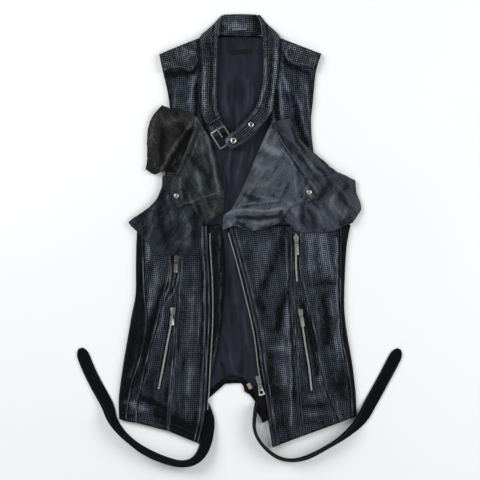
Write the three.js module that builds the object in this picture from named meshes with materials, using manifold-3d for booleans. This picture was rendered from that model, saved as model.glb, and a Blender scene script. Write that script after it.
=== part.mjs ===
// A sleeveless leather biker vest, laid flat on its back with its front open.
// Units are millimetres. X runs across the vest, Y from hem to collar and Z up from the surface it lies on.
// "Right" and "left" are the wearer's: the wearer's right lies at negative X.
import * as THREE from "three";
import { mergeVertices } from "three/addons/utils/BufferGeometryUtils.js";
import Module from "manifold-3d";

const wasm = await Module();
wasm.setup();

// Leather, cloth and seams
const backLeather = 1.3;
const liningCloth = 1.2;
const frontLeather = 1.6;
const flapLeather = 1.4;
const collarLeather = 2.6;
const seamGap = 0.3;
const layerGap = 0.9;

// Heights of the layers above the surface
const liningTop = backLeather + seamGap + liningCloth;
const placketTop = 4.7;
const hemFacingTop = 5.1;
const bodyHeight = 7.8;
const foldRim = 3.4;
const foldRadius = 9;

// Waist straps, snaps, eyelets and buckle
const strapWidth = 25;
const strapThick = 2;
const strapClear = 0.25;
const snapRadius = 5.6;
const coveredSnapRadius = 6.2;
const eyeletRadius = 6.4;
const buckle = { x: -32, y: 203, angle: -58.8, long: 38.6, wide: 33, bar: 3, low: 10.8, thick: 3 };

// Zips
const chain = { half: 2.4, crown: 1.7, high: 2 };
const slider = { long: 16, wide: 9.5, thick: 2.6, front: 5.6 };
const bail = { wide: 3, inside: 5.4, wall: 1.2, clear: 0.55 };
const crossbar = { radius: 0.8, half: 3.4 };
const arm = { wide: 1, long: 7 };
const pullThick = 1.2;
const pullDroop = 5;

const leather = { color: 0x15171b, roughness: 0.55, metalness: 0 };
const smoothLeather = { color: 0x23262b, roughness: 0.6, metalness: 0 };
const navyCloth = { color: 0x1a1e2a, roughness: 0.85, metalness: 0 };
const nickel = { color: 0xb9bab6, roughness: 0.3, metalness: 1 };
const paleCloth = { color: 0xb7a99a, roughness: 0.9, metalness: 0 };

const group = new THREE.Group();

function add(name, geometry, look) {
  const mesh = new THREE.Mesh(geometry, new THREE.MeshStandardMaterial(look));
  mesh.name = name;
  group.add(mesh);
  return mesh;
}

const table = (columns, rows) =>
  rows.map((row) => Object.fromEntries(columns.map((column, i) => [column, row[i]])));

const mix = (a, b, t) => a + (b - a) * t;

// Height of soft ridges and troughs at a point. Each one runs along a line and fades over its width.
function relief(folds, x, y) {
  let height = 0;
  for (const fold of folds) {
    const dx = fold.x2 - fold.x1;
    const dy = fold.y2 - fold.y1;
    const along = ((x - fold.x1) * dx + (y - fold.y1) * dy) / (dx * dx + dy * dy || 1);
    const t = THREE.MathUtils.clamp(along, 0, 1);
    const distance = Math.hypot(x - fold.x1 - t * dx, y - fold.y1 - t * dy);
    height += fold.rise * Math.exp(-((distance / fold.wide) ** 2));
  }
  return height;
}

const foldColumns = ["x1", "y1", "x2", "y2", "wide", "rise"];

// The largest folds of the two fronts, as they lie
const bodyFolds = table(foldColumns, [
  [-90, -20, -97, -330, 20, 2.4],
  [-168, 10, -168, -120, 15, 2.6],
  [-176, -160, -206, -300, 12, 2.0],
  [-152, -120, -176, -230, 7, -1.2],
  [-214, -60, -226, -300, 12, 1.6],
  [-205, -345, -150, -352, 12, 2.0],
  [-190, -326, -145, -338, 8, -1.2],
  [50, -70, 84, -330, 16, 2.4],
  [92, -10, 56, -150, 11, -1.1],
  [96, -80, 100, -370, 9, 1.6],
  [178, 0, 176, -130, 15, 2.6],
  [178, -170, 184, -226, 13, -1.3],
  [204, -230, 212, -330, 9, 1.8],
  [158, -330, 168, -368, 9, 1.6],
  [-93, 322, -99, 256, 8, 2.2],
  [-84, 312, -86, 256, 5, -1.0],
  [-122, 300, -124, 200, 14, 1.4],
  [88, 330, 104, 250, 8, 2.2],
  [112, 322, 134, 240, 9, 1.6],
]);

// The raw-edged facings droop where nothing carries them
const flapFolds = table(foldColumns, [
  [-84, 246, -132, 184, 9, 2.2],
  [-132, 184, -153, 140, 9, 2.2],
  [-186, 250, -190, 130, 24, -5.2],
  [-150, 284, -150, 276, 14, -2.6],
  [-246, 34, -230, 30, 20, -4.8],
  [-120, 40, -112, -20, 16, 1.6],
  [-168, 4, -167, -26, 14, 1.1],
  [256, 62, 247, 104, 24, -5.6],
  [242, 24, 244, 36, 10, -2.0],
  [120, 200, 176, 120, 10, 1.8],
  [186, 60, 198, 20, 12, 1.8],
]);

const lapelFolds = table(foldColumns, [
  [-82, 232, -100, 120, 12, 1.8],
  [-50, 150, -44, 90, 12, 1.2],
  [-14, 57, 98, 70, 7, 2.0],
  [30, 130, 70, 110, 24, 1.6],
]);

const liningFolds = table(foldColumns, [
  [-4, 300, -6, 226, 7, 1.6],
  [-16, 190, -12, 120, 6, 1.4],
  [14, 330, 18, 250, 9, 1.4],
  [2, 90, -2, -30, 9, 1.6],
  [8, -150, 2, -240, 9, 1.6],
  [-20, -220, -6, -262, 7, 1.2],
]);

const bodyTop = (x, y) => bodyHeight + relief(bodyFolds, x, y);
const shoulderTop = (x, y) => bodyTop(x, y) + layerGap + frontLeather;
const flapTop = (x, y) => bodyTop(x, y) + layerGap + flapLeather + relief(flapFolds, x, y);
const lapelTop = (x, y) => flapTop(x, y) + layerGap + frontLeather + relief(lapelFolds, x, y);

// The share of its full height that leather has reached at a distance from a rolled edge
function rolled(distance, radius) {
  return distance >= radius ? 1 : Math.sqrt(1 - (1 - distance / radius) ** 2);
}

const evenStops = (count, steps) =>
  Array.from({ length: (count - 1) * steps + 1 }, (_, i) => i / steps);

const splineThrough = (points) =>
  points.length === 2
    ? new THREE.LineCurve3(...points)
    : new THREE.CatmullRomCurve3(points, false, "catmullrom", 0.5);

// A smooth grid of points over a net, whose rows are lists of [x, y]. Stops count rows or columns of the net.
function gridOver(net, alongStops, acrossStops) {
  const lastRow = net.length - 1;
  const lastColumn = net[0].length - 1;
  const rows = net.map((row) => splineThrough(row.map(([x, y]) => new THREE.Vector3(x, y, 0))));
  const columns = acrossStops.map((stop) =>
    splineThrough(rows.map((row) => row.getPoint(stop / lastColumn))),
  );
  return alongStops.map((stop) => columns.map((column) => column.getPoint(stop / lastRow)));
}

// Distance of each grid point from the four sides, measured along the grid lines.
function sideDistances(grid) {
  const rows = grid.length;
  const columns = grid[0].length;
  const run = (points) => {
    const lengths = [0];
    for (let i = 1; i < points.length; i++)
      lengths.push(lengths[i - 1] + points[i].distanceTo(points[i - 1]));
    return lengths;
  };
  const across = grid.map(run);
  const down = grid[0].map((_, c) => run(grid.map((row) => row[c])));
  return (r, c) => ({
    first: across[r][c],
    last: across[r][columns - 1] - across[r][c],
    top: down[c][r],
    bottom: down[c][rows - 1] - down[c][r],
  });
}

// A closed wall of cloth between a grid of upper points and the same grid moved down by its thickness.
function wall(upper, lower) {
  const rows = upper.length;
  const columns = upper[0].length;
  const positions = [...upper.flat(), ...lower.flat()].flatMap((p) => [p.x, p.y, p.z]);
  const top = (r, c) => r * columns + c;
  const low = (r, c) => rows * columns + r * columns + c;
  const faces = [];
  const quad = (a, b, c, d) => faces.push([a, b, c], [a, c, d]);
  for (let r = 0; r < rows - 1; r++)
    for (let c = 0; c < columns - 1; c++) {
      quad(top(r, c), top(r + 1, c), top(r + 1, c + 1), top(r, c + 1));
      quad(low(r, c), low(r, c + 1), low(r + 1, c + 1), low(r + 1, c));
    }
  for (let r = 0; r < rows - 1; r++) {
    quad(top(r, 0), low(r, 0), low(r + 1, 0), top(r + 1, 0));
    quad(top(r + 1, columns - 1), low(r + 1, columns - 1), low(r, columns - 1), top(r, columns - 1));
  }
  for (let c = 0; c < columns - 1; c++) {
    quad(top(0, c + 1), low(0, c + 1), low(0, c), top(0, c));
    quad(top(rows - 1, c), low(rows - 1, c), low(rows - 1, c + 1), top(rows - 1, c + 1));
  }
  const across = upper[0][columns - 1].clone().sub(upper[0][0]);
  const down = upper[rows - 1][0].clone().sub(upper[0][0]);
  const turned = down.x * across.y - down.y * across.x < 0;
  const geometry = new THREE.BufferGeometry();
  geometry.setAttribute("position", new THREE.Float32BufferAttribute(positions, 3));
  geometry.setIndex(faces.flatMap(([a, b, c]) => (turned ? [a, c, b] : [a, b, c])));
  geometry.computeVertexNormals();
  return geometry;
}

// A cloth piece over a net. heightAt gives its upper face, and thickAt may thicken a rolled rim.
function cloth(net, { along = 2, across = 4, alongStops, acrossStops, heightAt, thickness }) {
  const grid = gridOver(
    net,
    alongStops ?? evenStops(net.length, along),
    acrossStops ?? evenStops(net[0].length, across),
  );
  const distances = sideDistances(grid);
  const lower = [];
  const upper = grid.map((row, r) => {
    lower.push([]);
    return row.map((point, c) => {
      const made = heightAt(point.x, point.y, distances(r, c));
      const [height, thick] = Array.isArray(made) ? made : [made, thickness];
      lower[r].push(new THREE.Vector3(point.x, point.y, height - thick));
      return new THREE.Vector3(point.x, point.y, height);
    });
  });
  return wall(upper, lower);
}

// Leather that turns down to the surface at a fold: full height inside, a low thick rim at the fold.
function turnedDown(surface, distance) {
  const share = rolled(distance, foldRadius);
  return [mix(foldRim, surface, share), frontLeather * (1 + 0.93 * (1 - share))];
}

// Two ends of a row, each moved inwards by half a seam.
function seamed(a, b, first = seamGap / 2, last = seamGap / 2) {
  const length = Math.hypot(b[0] - a[0], b[1] - a[1]);
  const ux = (b[0] - a[0]) / length;
  const uy = (b[1] - a[1]) / length;
  return [
    [a[0] + ux * first, a[1] + uy * first],
    [b[0] - ux * last, b[1] - uy * last],
  ];
}

// Cutting lines of the two lower fronts, from the chest seam to the hem
const waistLines = ["side", "sideSeam", "pocketOuter", "pocketInner", "frontEdge"];
const lowerRight = table(waistLines, [
  [[-202, 27.35], [-190, 27.35], [-134, 27.35], [-112, 27.35], [-60, 27.35]],
  [[-204, -10], [-189, -10], [-134, -15], [-113, -15], [-59, -15]],
  [[-205, -60], [-188, -58], [-136, -62], [-115, -62], [-56, -62]],
  [[-205, -112], [-186, -108], [-148, -114], [-121, -112], [-54, -112]],
  [[-213, -150], [-182, -152], [-158, -154], [-124, -155], [-54, -158]],
  [[-221.5, -200], [-185, -200], [-170, -200], [-125, -202], [-56, -206]],
  [[-229, -243], [-196, -245], [-182, -246], [-129, -248], [-59, -252]],
  [[-235, -284], [-210, -287], [-192, -290], [-133, -293], [-61, -298]],
  [[-239.5, -322], [-218, -326], [-200, -330], [-137, -338], [-65, -352]],
  [[-238.5, -360], [-223, -365], [-203, -368], [-140, -384], [-77, -410]],
]);
const lowerLeft = table(waistLines, [
  [[226, 27.35], [204, 27.35], [124, 27.35], [110, 27.35], [-20, 27.35]],
  [[218.5, -8], [203, -12], [123, -15], [109, -15], [-9, -12]],
  [[215, -58], [203, -60], [123, -60], [109, -60], [4, -58]],
  [[213, -112], [203, -108], [134, -110], [110, -112], [17, -110]],
  [[214, -154], [204, -156], [146, -158], [111, -160], [29, -160]],
  [[220, -198], [207, -202], [155, -204], [114, -206], [38, -208]],
  [[228, -242], [216, -245], [163, -248], [118, -250], [43, -252]],
  [[233.5, -286], [223, -290], [174, -294], [121, -296], [51, -298]],
  [[237, -322], [226, -326], [188, -332], [124, -342], [58, -348]],
  [[237.5, -355], [227, -358], [205, -367], [130, -394], [69, -417]],
]);

// Cutting lines of the two upper fronts, from shoulder to chest seam
const upperLines = ["armhole", "neckEdge"];
const upperRight = table(upperLines, [
  [[-158, 370], [-78, 403]],
  [[-150, 332], [-70, 356]],
  [[-143, 304], [-71, 320]],
  [[-137.5, 270], [-72, 284]],
  [[-135.5, 236], [-73, 246]],
  [[-138, 188], [-60, 198]],
  [[-144, 140], [-48, 140]],
  [[-151, 102], [-43, 96]],
  [[-168, 62], [-48, 58]],
  [[-201, 27.65], [-60, 27.65]],
]);
const upperLeft = table(upperLines, [
  [[167, 371.5], [85, 403]],
  [[156.5, 337], [79, 360]],
  [[152.5, 302], [74, 322]],
  [[149.5, 268], [69, 284]],
  [[146, 238], [65, 246]],
  [[148, 204], [60, 204]],
  [[153, 160], [41, 158]],
  [[166, 112], [23, 108]],
  [[188, 66], [3, 66]],
  [[226, 27.65], [-18, 27.65]],
]);

// Back body and lining: four edges, filled in between
function filledNet(leftSide, rightSide, topEdge, hemEdge) {
  const lastRow = leftSide.length - 1;
  const lastColumn = topEdge.length - 1;
  return leftSide.map((leftPoint, r) =>
    topEdge.map((topPoint, c) => {
      const v = r / lastRow;
      const u = c / lastColumn;
      return [0, 1].map((k) => {
        const sides = mix(leftPoint[k], rightSide[r][k], u);
        const ends = mix(topPoint[k], hemEdge[c][k], v);
        const corners = mix(
          mix(topEdge[0][k], topEdge[lastColumn][k], u),
          mix(hemEdge[0][k], hemEdge[lastColumn][k], u),
          v,
        );
        return sides + ends - corners;
      });
    }),
  );
}

// The back follows the side edges of the fronts, a little inside them, and has its own neck and hem.
function backNet(inset, topDrop, hemLift) {
  const neck = [[-158 + inset, 370], [-78, 404], [-28, 412], [26, 412], [82, 404], [167 - inset, 371]];
  const hem = [[-238.5 + inset, -357], [-66, -326], [-24, -289], [6, -289], [35, -327], [237.5 - inset, -352]];
  const topEdge = neck.map(([x, y]) => [x, y - topDrop]);
  const hemEdge = hem.map(([x, y]) => [x, y + hemLift]);
  const side = (upper, lower, shift, top, bottom) =>
    [...upper.map((row) => row.armhole), ...lower.slice(1).map((row) => row.side)].map(([x, y]) => [
      x + shift,
      THREE.MathUtils.clamp(y, bottom[1], top[1]),
    ]);
  return filledNet(
    side(upperRight, lowerRight, inset, topEdge[0], hemEdge[0]),
    side(upperLeft, lowerLeft, -inset, topEdge[5], hemEdge[5]),
    topEdge,
    hemEdge,
  );
}

add(
  "back_body",
  cloth(backNet(2.4, 2.5, 0), {
    along: 1,
    across: 1,
    heightAt: () => backLeather,
    thickness: backLeather,
  }),
  smoothLeather,
);
add(
  "back_lining",
  cloth(backNet(7, 8, 8), {
    along: 1,
    acrossStops: [0, 0.5, 1, 1.33, 1.67, 2, 2.33, 2.67, 3, 3.33, 3.67, 4, 4.5, 5],
    heightAt: (x, y) => liningTop + relief(liningFolds, x, y),
    thickness: liningCloth,
  }),
  navyCloth,
);

const hemFacing = [
  [[-51, -302], [-56, -313]],
  [[-42, -293], [-48, -304]],
  [[-26, -277], [-27, -286]],
  [[-10, -273.5], [-10, -284.5]],
  [[6, -277], [8, -286]],
  [[19, -293], [24, -304]],
  [[27, -307], [31, -318]],
];
add(
  "back_hem_facing",
  cloth(hemFacing, {
    along: 2,
    across: 2,
    heightAt: (x, y) => hemFacingTop + relief(liningFolds, x, y),
    thickness: 1.2,
  }),
  leather,
);

const placketNet = [
  [[-76, 26], [-38, 30]],
  [[-75, -6], [-28, -6]],
  [[-74, -62], [-25, -62]],
  [[-72, -122], [-28, -121]],
  [[-72, -180], [-34, -178]],
  [[-74, -238], [-45, -238]],
  [[-75, -292], [-57, -290]],
];
add(
  "placket_facing",
  cloth(placketNet, {
    along: 2,
    across: 3,
    heightAt: (x, y, side) => placketTop + 1.4 * Math.exp(-((side.last / 9) ** 2)) * (x > -56 ? 1 : 0),
    thickness: 1.2,
  }),
  leather,
);

// Fronts
const shoulderStops = [0, 0.05, 0.13, 0.28, 0.6, 1, 1.5, 2, 2.5, 3, 3.5, 4, 4.75, 5.5, 6.5, 7.5, 8.25, 9];
const armholeStops = [0, 0.015, 0.05, 0.11, 0.24, 0.38, 0.52, 0.66, 0.82, 1];
const sidePanelStops = [0, 0.1, 0.3, 0.62, 1];

function upperFront(rows) {
  const net = rows.map((row) => [row.armhole, row.neckEdge]);
  return cloth(net, {
    alongStops: shoulderStops,
    acrossStops: armholeStops,
    heightAt: (x, y, side) => turnedDown(bodyTop(x, y), Math.min(side.first, side.top)),
  });
}

function lowerPanel(rows, from, to, { across = 4, first, last } = {}) {
  const net = rows.map((row) => seamed(row[from], row[to], first, last));
  return cloth(net, { along: 2, across, heightAt: (x, y) => bodyTop(x, y), thickness: frontLeather });
}

function sidePanel(rows) {
  const net = rows.map((row) => seamed(row.side, row.sideSeam, 0));
  return cloth(net, {
    along: 2,
    acrossStops: sidePanelStops,
    heightAt: (x, y, side) => turnedDown(bodyTop(x, y), side.first),
  });
}

for (const [hand, upper, lower] of [
  ["right", upperRight, lowerRight],
  ["left", upperLeft, lowerLeft],
]) {
  add(`front_upper_${hand}`, upperFront(upper), leather);
  add(`side_panel_${hand}`, sidePanel(lower), smoothLeather);
  add(`side_front_${hand}`, lowerPanel(lower, "sideSeam", "pocketOuter", { across: 5 }), leather);
  add(`pocket_insert_${hand}`, lowerPanel(lower, "pocketOuter", "pocketInner", { across: 4 }), leather);
  add(`centre_front_${hand}`, lowerPanel(lower, "pocketInner", "frontEdge", { across: 7, last: 0 }), leather);
}

// Collar bands: the two ends of each section, and the height of its outer edge, crown and inner edge
const collarColumns = ["outer", "inner", "outerZ", "crownZ", "innerZ"];
const collarRight = table(collarColumns, [
  [[-34, 447], [-30, 449], 3.0, 3.2, 3.0],
  [[-50, 430], [-37.4, 436], 4.2, 6.0, 5.0],
  [[-64, 417], [-39.4, 420], 6.5, 10, 7.5],
  [[-77, 403], [-40, 398], 10.6, 14, 10],
  [[-75, 378], [-40, 374], 11, 16, 11],
  [[-73, 350], [-41, 350], 11, 17, 11],
  [[-74, 316], [-42, 316], 11, 17, 11],
  [[-75, 284], [-43, 284], 11, 17, 11],
  [[-75, 256], [-42, 262], 11, 16, 11],
  [[-67, 233], [-36, 245], 9.8, 12.5, 10],
  [[-55, 214], [-29, 231], 8.4, 9.8, 8.4],
  [[-47, 201], [-21, 219], 7.4, 8.6, 7.4],
]);
const collarLeft = table(collarColumns, [
  [[43.5, 449], [38, 449], 3.0, 3.2, 3.0],
  [[58.5, 431], [45.4, 436], 4.2, 6.0, 5.0],
  [[72.5, 418], [48.4, 420], 6.5, 10, 7.5],
  [[84, 403.5], [50, 398], 10.6, 14, 10],
  [[82, 380], [50, 374], 11, 16, 11],
  [[82, 352], [50, 350], 11.4, 17, 11],
  [[77, 322], [49, 322], 11.4, 17, 11],
  [[73, 296], [46, 298], 11.4, 17, 11],
  [[70, 270], [40, 274], 11.4, 16, 11],
  [[65, 248], [28, 252], 12, 15.5, 12],
  [[48, 226], [10, 232], 13.5, 16, 14],
  [[28, 204], [-3, 220], 16, 17.2, 16],
  [[6, 188], [-11, 213], 17.4, 18.2, 17.4],
  [[-11, 180], [-19, 207], 17.4, 18.2, 17.4],
  [[-22, 185], [-26, 198], 17.2, 17.8, 17.2],
]);

// A collar section: low at both edges, with a rounded crown between them.
function collarBand(rows, across) {
  const net = rows.map((row) => [row.outer, row.inner]);
  const heights = new THREE.CatmullRomCurve3(
    rows.map((row) => new THREE.Vector3(row.outerZ, row.crownZ, row.innerZ)),
    false,
    "catmullrom",
    0.5,
  );
  const alongStops = evenStops(rows.length, 2);
  const grid = gridOver(net, alongStops, evenStops(2, across));
  const upper = grid.map((row, r) => {
    const section = heights.getPoint(alongStops[r] / (rows.length - 1));
    return row.map((point, c) => {
      const u = c / across;
      const edge = mix(section.x, section.z, u);
      const crown = (section.y - (section.x + section.z) / 2) * Math.sin(Math.PI * u);
      return new THREE.Vector3(point.x, point.y, edge + crown);
    });
  });
  const lower = upper.map((row) => row.map((p) => new THREE.Vector3(p.x, p.y, p.z - collarLeather)));
  return wall(upper, lower);
}
add("collar_band_right", collarBand(collarRight, 5), leather);
add("collar_band_left", collarBand(collarLeft, 5), leather);

const standNet = [
  [[-28.6, 449.6], [-6, 450.5], [14, 450.5], [36.6, 449.6]],
  [[-36, 434], [-10, 433], [18, 433], [44, 434]],
  [[-38, 409], [-12, 406], [20, 406], [47.6, 409]],
];
add(
  "collar_stand",
  cloth(standNet, {
    along: 3,
    across: 3,
    heightAt: (x, y, side) => mix(6.4, 3, THREE.MathUtils.smoothstep(y, 405, 450)),
    thickness: 2.4,
  }),
  leather,
);

// A small arched strip between two points, such as a keeper or a hanger loop.
function archedStrip(from, to, width, thick, low, rise, steps = 8) {
  const dx = to[0] - from[0];
  const dy = to[1] - from[1];
  const length = Math.hypot(dx, dy);
  const nx = (-dy / length) * (width / 2);
  const ny = (dx / length) * (width / 2);
  const rows = [];
  for (let i = 0; i <= steps; i++) {
    const t = i / steps;
    const z = low + thick + rise * Math.sin(Math.PI * t);
    const x = from[0] + dx * t;
    const y = from[1] + dy * t;
    rows.push([new THREE.Vector3(x + nx, y + ny, z), new THREE.Vector3(x - nx, y - ny, z)]);
  }
  const under = rows.map((row) => row.map((p) => new THREE.Vector3(p.x, p.y, p.z - thick)));
  return wall(rows, under);
}
add("collar_keeper", archedStrip([-62, 227], [-34, 245], 7, 1.4, 10.6, 3.6), leather);
add("hanger_loop", archedStrip([-12, 419], [18, 420], 3.4, 1.2, 6, 1.6), leather);
add("neck_label", archedStrip([-14, 373], [28, 377], 9, 0.5, liningTop + 0.3, 0), navyCloth);

const flapColumnsRight = [
  [[-149, 333], [-153, 351], [-157.5, 369]],
  [[-132, 340], [-135, 358], [-139, 377.5]],
  [[-112, 340], [-112, 362], [-113, 388]],
  [[-93, 332], [-92, 362], [-93, 396]],
  [[-80, 350], [-80.5, 372], [-82, 400]],
];
const flapColumnsLeft = [
  [[85, 384], [85, 392], [86, 400.5]],
  [[98, 356], [100, 374], [104, 393.5]],
  [[113, 347], [118, 366], [123, 386.5]],
  [[136, 344], [140, 360], [144, 378.5]],
  [[153, 338], [159, 354], [165, 370]],
];
for (const [hand, net] of [
  ["right", flapColumnsRight],
  ["left", flapColumnsLeft],
]) {
  add(
    `shoulder_flap_${hand}`,
    cloth(net, {
      along: 2,
      across: 3,
      heightAt: (x, y, side) =>
        shoulderTop(x, y) - 1.6 * (1 - rolled(side.last, 8)) + 1.4 * Math.exp(-((side.first / 8) ** 2)),
      thickness: 1.6,
    }),
    leather,
  );
}

// Raw-edged facings that fold out past the armholes
const facingUpperRight = [
  [[-151, 269], [-140, 263], [-118, 261], [-86, 250]],
  [[-164, 254], [-148, 250], [-122, 246], [-87, 239]],
  [[-175, 239], [-156, 234], [-128, 229], [-90, 226]],
  [[-181, 214], [-162, 211], [-134, 208], [-96, 206]],
  [[-182, 186], [-165, 186], [-139, 186], [-102, 184]],
  [[-182, 158], [-167, 157], [-145, 159], [-110, 158]],
  [[-184, 140], [-170, 129], [-152, 134], [-118, 132]],
];
const facingLowerRight = [
  [[-151, 127], [-120, 127], [-90, 127], [-60, 127]],
  [[-153, 104], [-122, 100], [-90, 98], [-58, 96]],
  [[-165, 76], [-130, 70], [-94, 66], [-60, 62]],
  [[-190, 54], [-146, 48], [-102, 42], [-70, 34]],
  [[-219, 34], [-158, 24], [-108, 16], [-77, 14]],
  [[-196, 10], [-152, 0], [-112, -8], [-82, -8]],
  [[-163, -31], [-138, -31.5], [-113, -31], [-89, -29]],
];
const facingLeft = [
  [[88, 46], [82, 110], [78, 174], [77, 236]],
  [[97, 33], [94, 100], [97, 170], [105, 240]],
  [[107, 27], [106, 88], [109, 152], [113, 216]],
  [[117, 16], [122, 74], [127, 132], [133, 188]],
  [[137, 13], [141, 68], [146, 122], [151, 174]],
  [[158, 13], [165, 60], [171, 106], [178, 151]],
  [[184, 15], [188, 56], [190, 98], [192, 138]],
  [[204, 22], [212, 56], [213, 92], [212, 128]],
  [[230, 33], [247, 62], [237, 92], [235, 118]],
];
for (const [name, net, across] of [
  ["facing_flap_upper_right", facingUpperRight, 3],
  ["facing_flap_lower_right", facingLowerRight, 3],
  ["facing_flap_left", facingLeft, 3],
]) {
  add(name, cloth(net, { along: 2, across, heightAt: flapTop, thickness: flapLeather }), smoothLeather);
}

// Lapels, from the point under the collar to the lower edge. The last column is the roll edge.
const lapelRight = [
  [[-86, 243], [-84.5, 244], [-83, 244.4], [-81.5, 244], [-80, 242]],
  [[-89, 222], [-83, 220], [-77, 219], [-71, 217], [-66, 216]],
  [[-98, 194], [-86, 192], [-74, 191], [-62, 190], [-51, 192]],
  [[-108, 166], [-91, 164], [-74, 162], [-57, 161], [-43, 162]],
  [[-120, 136], [-98, 133], [-76, 130], [-55, 129], [-36, 132]],
  [[-134, 114], [-106, 108], [-80, 100], [-54, 98], [-29, 102]],
  [[-136, 92], [-104, 88], [-79, 72], [-56, 66], [-27, 76]],
  [[-121, 61], [-98, 71], [-76, 42], [-58, 35], [-30, 56]],
];
const lapelLeft = [
  [[75, 236], [74, 238], [73, 239.4], [72, 239.4], [71, 238.6], [70, 237]],
  [[83, 207], [78, 206], [72, 205], [66, 205], [60, 206], [55, 208]],
  [[108, 160], [95, 155], [79, 153], [64, 153], [48, 155], [33, 158]],
  [[128, 134], [104, 130], [82, 124], [60, 120], [38, 120], [18, 122]],
  [[143, 117], [114, 108], [86, 98], [56, 90], [28, 88], [2, 88]],
  [[156, 102], [116, 88], [86, 76], [48, 68], [16, 62], [-14, 58]],
  [[162, 92], [110, 72], [88, 56], [40, 50], [5, 50], [-29, 47]],
  [[157, 78], [103, 66], [86, 34], [27, 15], [-4, 27], [-31, 18]],
];
const rollRadius = 14;
const rollRim = 5.6;
const apexRim = 11;
for (const [hand, net, across] of [
  ["right", lapelRight, 2],
  ["left", lapelLeft, 2],
]) {
  add(
    `lapel_${hand}`,
    cloth(net, {
      along: 2,
      across,
      heightAt: (x, y, side) => {
        const rim = mix(rollRim, apexRim, THREE.MathUtils.smoothstep(y, 175, 220));
        return mix(rim, lapelTop(x, y), rolled(side.last, rollRadius));
      },
      thickness: frontLeather,
    }),
    smoothLeather,
  );
}

// A closed strip with a convex section, carried along frames. The section is a list of [side, up].
function sweep(frames, section) {
  const count = section.length;
  const positions = frames.flatMap(({ at, side, up }) =>
    section.flatMap(([s, u]) => at.clone().addScaledVector(side, s).addScaledVector(up, u).toArray()),
  );
  const index = [];
  for (let f = 0; f < frames.length - 1; f++)
    for (let k = 0; k < count; k++) {
      const a = f * count + k;
      const b = f * count + ((k + 1) % count);
      index.push(a, b, b + count, a, b + count, a + count);
    }
  const last = (frames.length - 1) * count;
  for (let k = 1; k < count - 1; k++) {
    index.push(0, k + 1, k);
    index.push(last, last + k, last + k + 1);
  }
  const geometry = new THREE.BufferGeometry();
  geometry.setAttribute("position", new THREE.Float32BufferAttribute(positions, 3));
  geometry.setIndex(index);
  geometry.computeVertexNormals();
  return geometry;
}

const up = new THREE.Vector3(0, 0, 1);

// Frames along a flat route, with a height at each point and a roll about the route.
function framesAlong(points, count, rolls) {
  const route = new THREE.CatmullRomCurve3(points, false, "centripetal");
  return Array.from({ length: count + 1 }, (_, i) => {
    const t = i / count;
    const tangent = route.getTangent(t);
    const flat = new THREE.Vector3(tangent.x, tangent.y, 0).normalize();
    const side = new THREE.Vector3(-flat.y, flat.x, 0);
    const angle = rolls ? THREE.MathUtils.degToRad(rolls(t)) : 0;
    return {
      at: route.getPoint(t),
      side: side.clone().applyAxisAngle(flat, angle),
      up: up.clone().applyAxisAngle(flat, angle),
    };
  });
}

// Waist straps: where the middle of the strap runs, and how far it is turned up on its edge
const strapColumns = ["x", "y", "roll", "lift"];
const strapRight = table(strapColumns, [
  [-79, -301, 0, 3.1],
  [-77, -314, 0, 3.1],
  [-72, -328, 0, 3.1],
  [-65, -345, 2, 2.0],
  [-59.5, -362, 6, 0.8],
  [-60, -384, 14, 0.2],
  [-64, -407, 26, 0],
  [-73, -429, 42, 0],
  [-89, -444.5, 60, 0],
  [-112, -449.5, 68, 0],
  [-139, -444, 66, 0],
  [-168, -433, 64, 0],
  [-195, -418.5, 66, 0],
  [-214, -404, 70, 0],
  [-233.5, -386, 64, 0],
  [-252, -360, 48, 0],
  [-259.5, -337, 16, 0],
  [-272, -314, 4, 0],
  [-288, -285, 0, 0],
  [-303, -253, 0, 0],
  [-311, -232, 0, 0],
]);
const strapLeft = table(strapColumns, [
  [37, -327.9, 78, 0],
  [34.2, -345, 78, 0],
  [32.6, -362, 78, 0],
  [32.2, -376, 79, 0],
  [38, -396, 77, 0],
  [54.5, -418, 73, 0],
  [80, -437, 70, 0],
  [110, -442.5, 68, 0],
  [142, -435, 63, 0],
  [176, -417, 66, 0],
  [204, -400, 60, 0],
  [233, -376, 42, 0],
  [251, -355, 18, 0],
  [263, -333, 4, 0],
  [281, -301, 0, 0],
  [302, -262, 0, 0],
  [317, -233, 0, 0],
]);

function waistStrap(rows) {
  const points = rows.map((row) => {
    const tilt = Math.abs(THREE.MathUtils.degToRad(row.roll));
    const low = (Math.sin(tilt) * strapWidth + Math.cos(tilt) * strapThick) / 2;
    return new THREE.Vector3(row.x, row.y, low + row.lift + strapClear);
  });
  const rollCurve = new THREE.CatmullRomCurve3(
    rows.map((row) => new THREE.Vector3(row.roll, 0, 0)),
    false,
    "catmullrom",
    0.5,
  );
  const frames = framesAlong(points, (rows.length - 1) * 2, (t) => rollCurve.getPoint(t).x);
  const half = strapWidth / 2;
  const thick = strapThick / 2;
  const body = [
    [-half, -thick],
    [half, -thick],
    [half, thick],
    [-half, thick],
  ];
  // The free end is cut to a blunt point
  const tip = frames[frames.length - 1];
  const before = frames[frames.length - 2];
  const heading = tip.at.clone().sub(before.at).normalize();
  const shaped = frames.map((frame) => ({ ...frame, width: 1 }));
  for (const [reach, width] of [
    [9, 0.72],
    [14, 0.3],
  ])
    shaped.push({ ...tip, at: tip.at.clone().addScaledVector(heading, reach), width });
  return sweep(
    shaped.map(({ at, side, up: rise, width }) => ({
      at,
      side: side.clone().multiplyScalar(width),
      up: rise,
    })),
    body,
  );
}
add("waist_strap_right", waistStrap(strapRight), smoothLeather);
add("waist_strap_left", waistStrap(strapLeft), smoothLeather);

// Zip chains: a low bead with sloping flanks
const chainSection = [
  [-chain.half, 0],
  [chain.half, 0],
  [chain.crown, chain.high],
  [-chain.crown, chain.high],
];

function zipChain(points, heightAt, count) {
  const route = points.map(([x, y]) => new THREE.Vector3(x, y, heightAt(x, y)));
  return sweep(framesAlong(route, count), chainSection);
}

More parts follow.
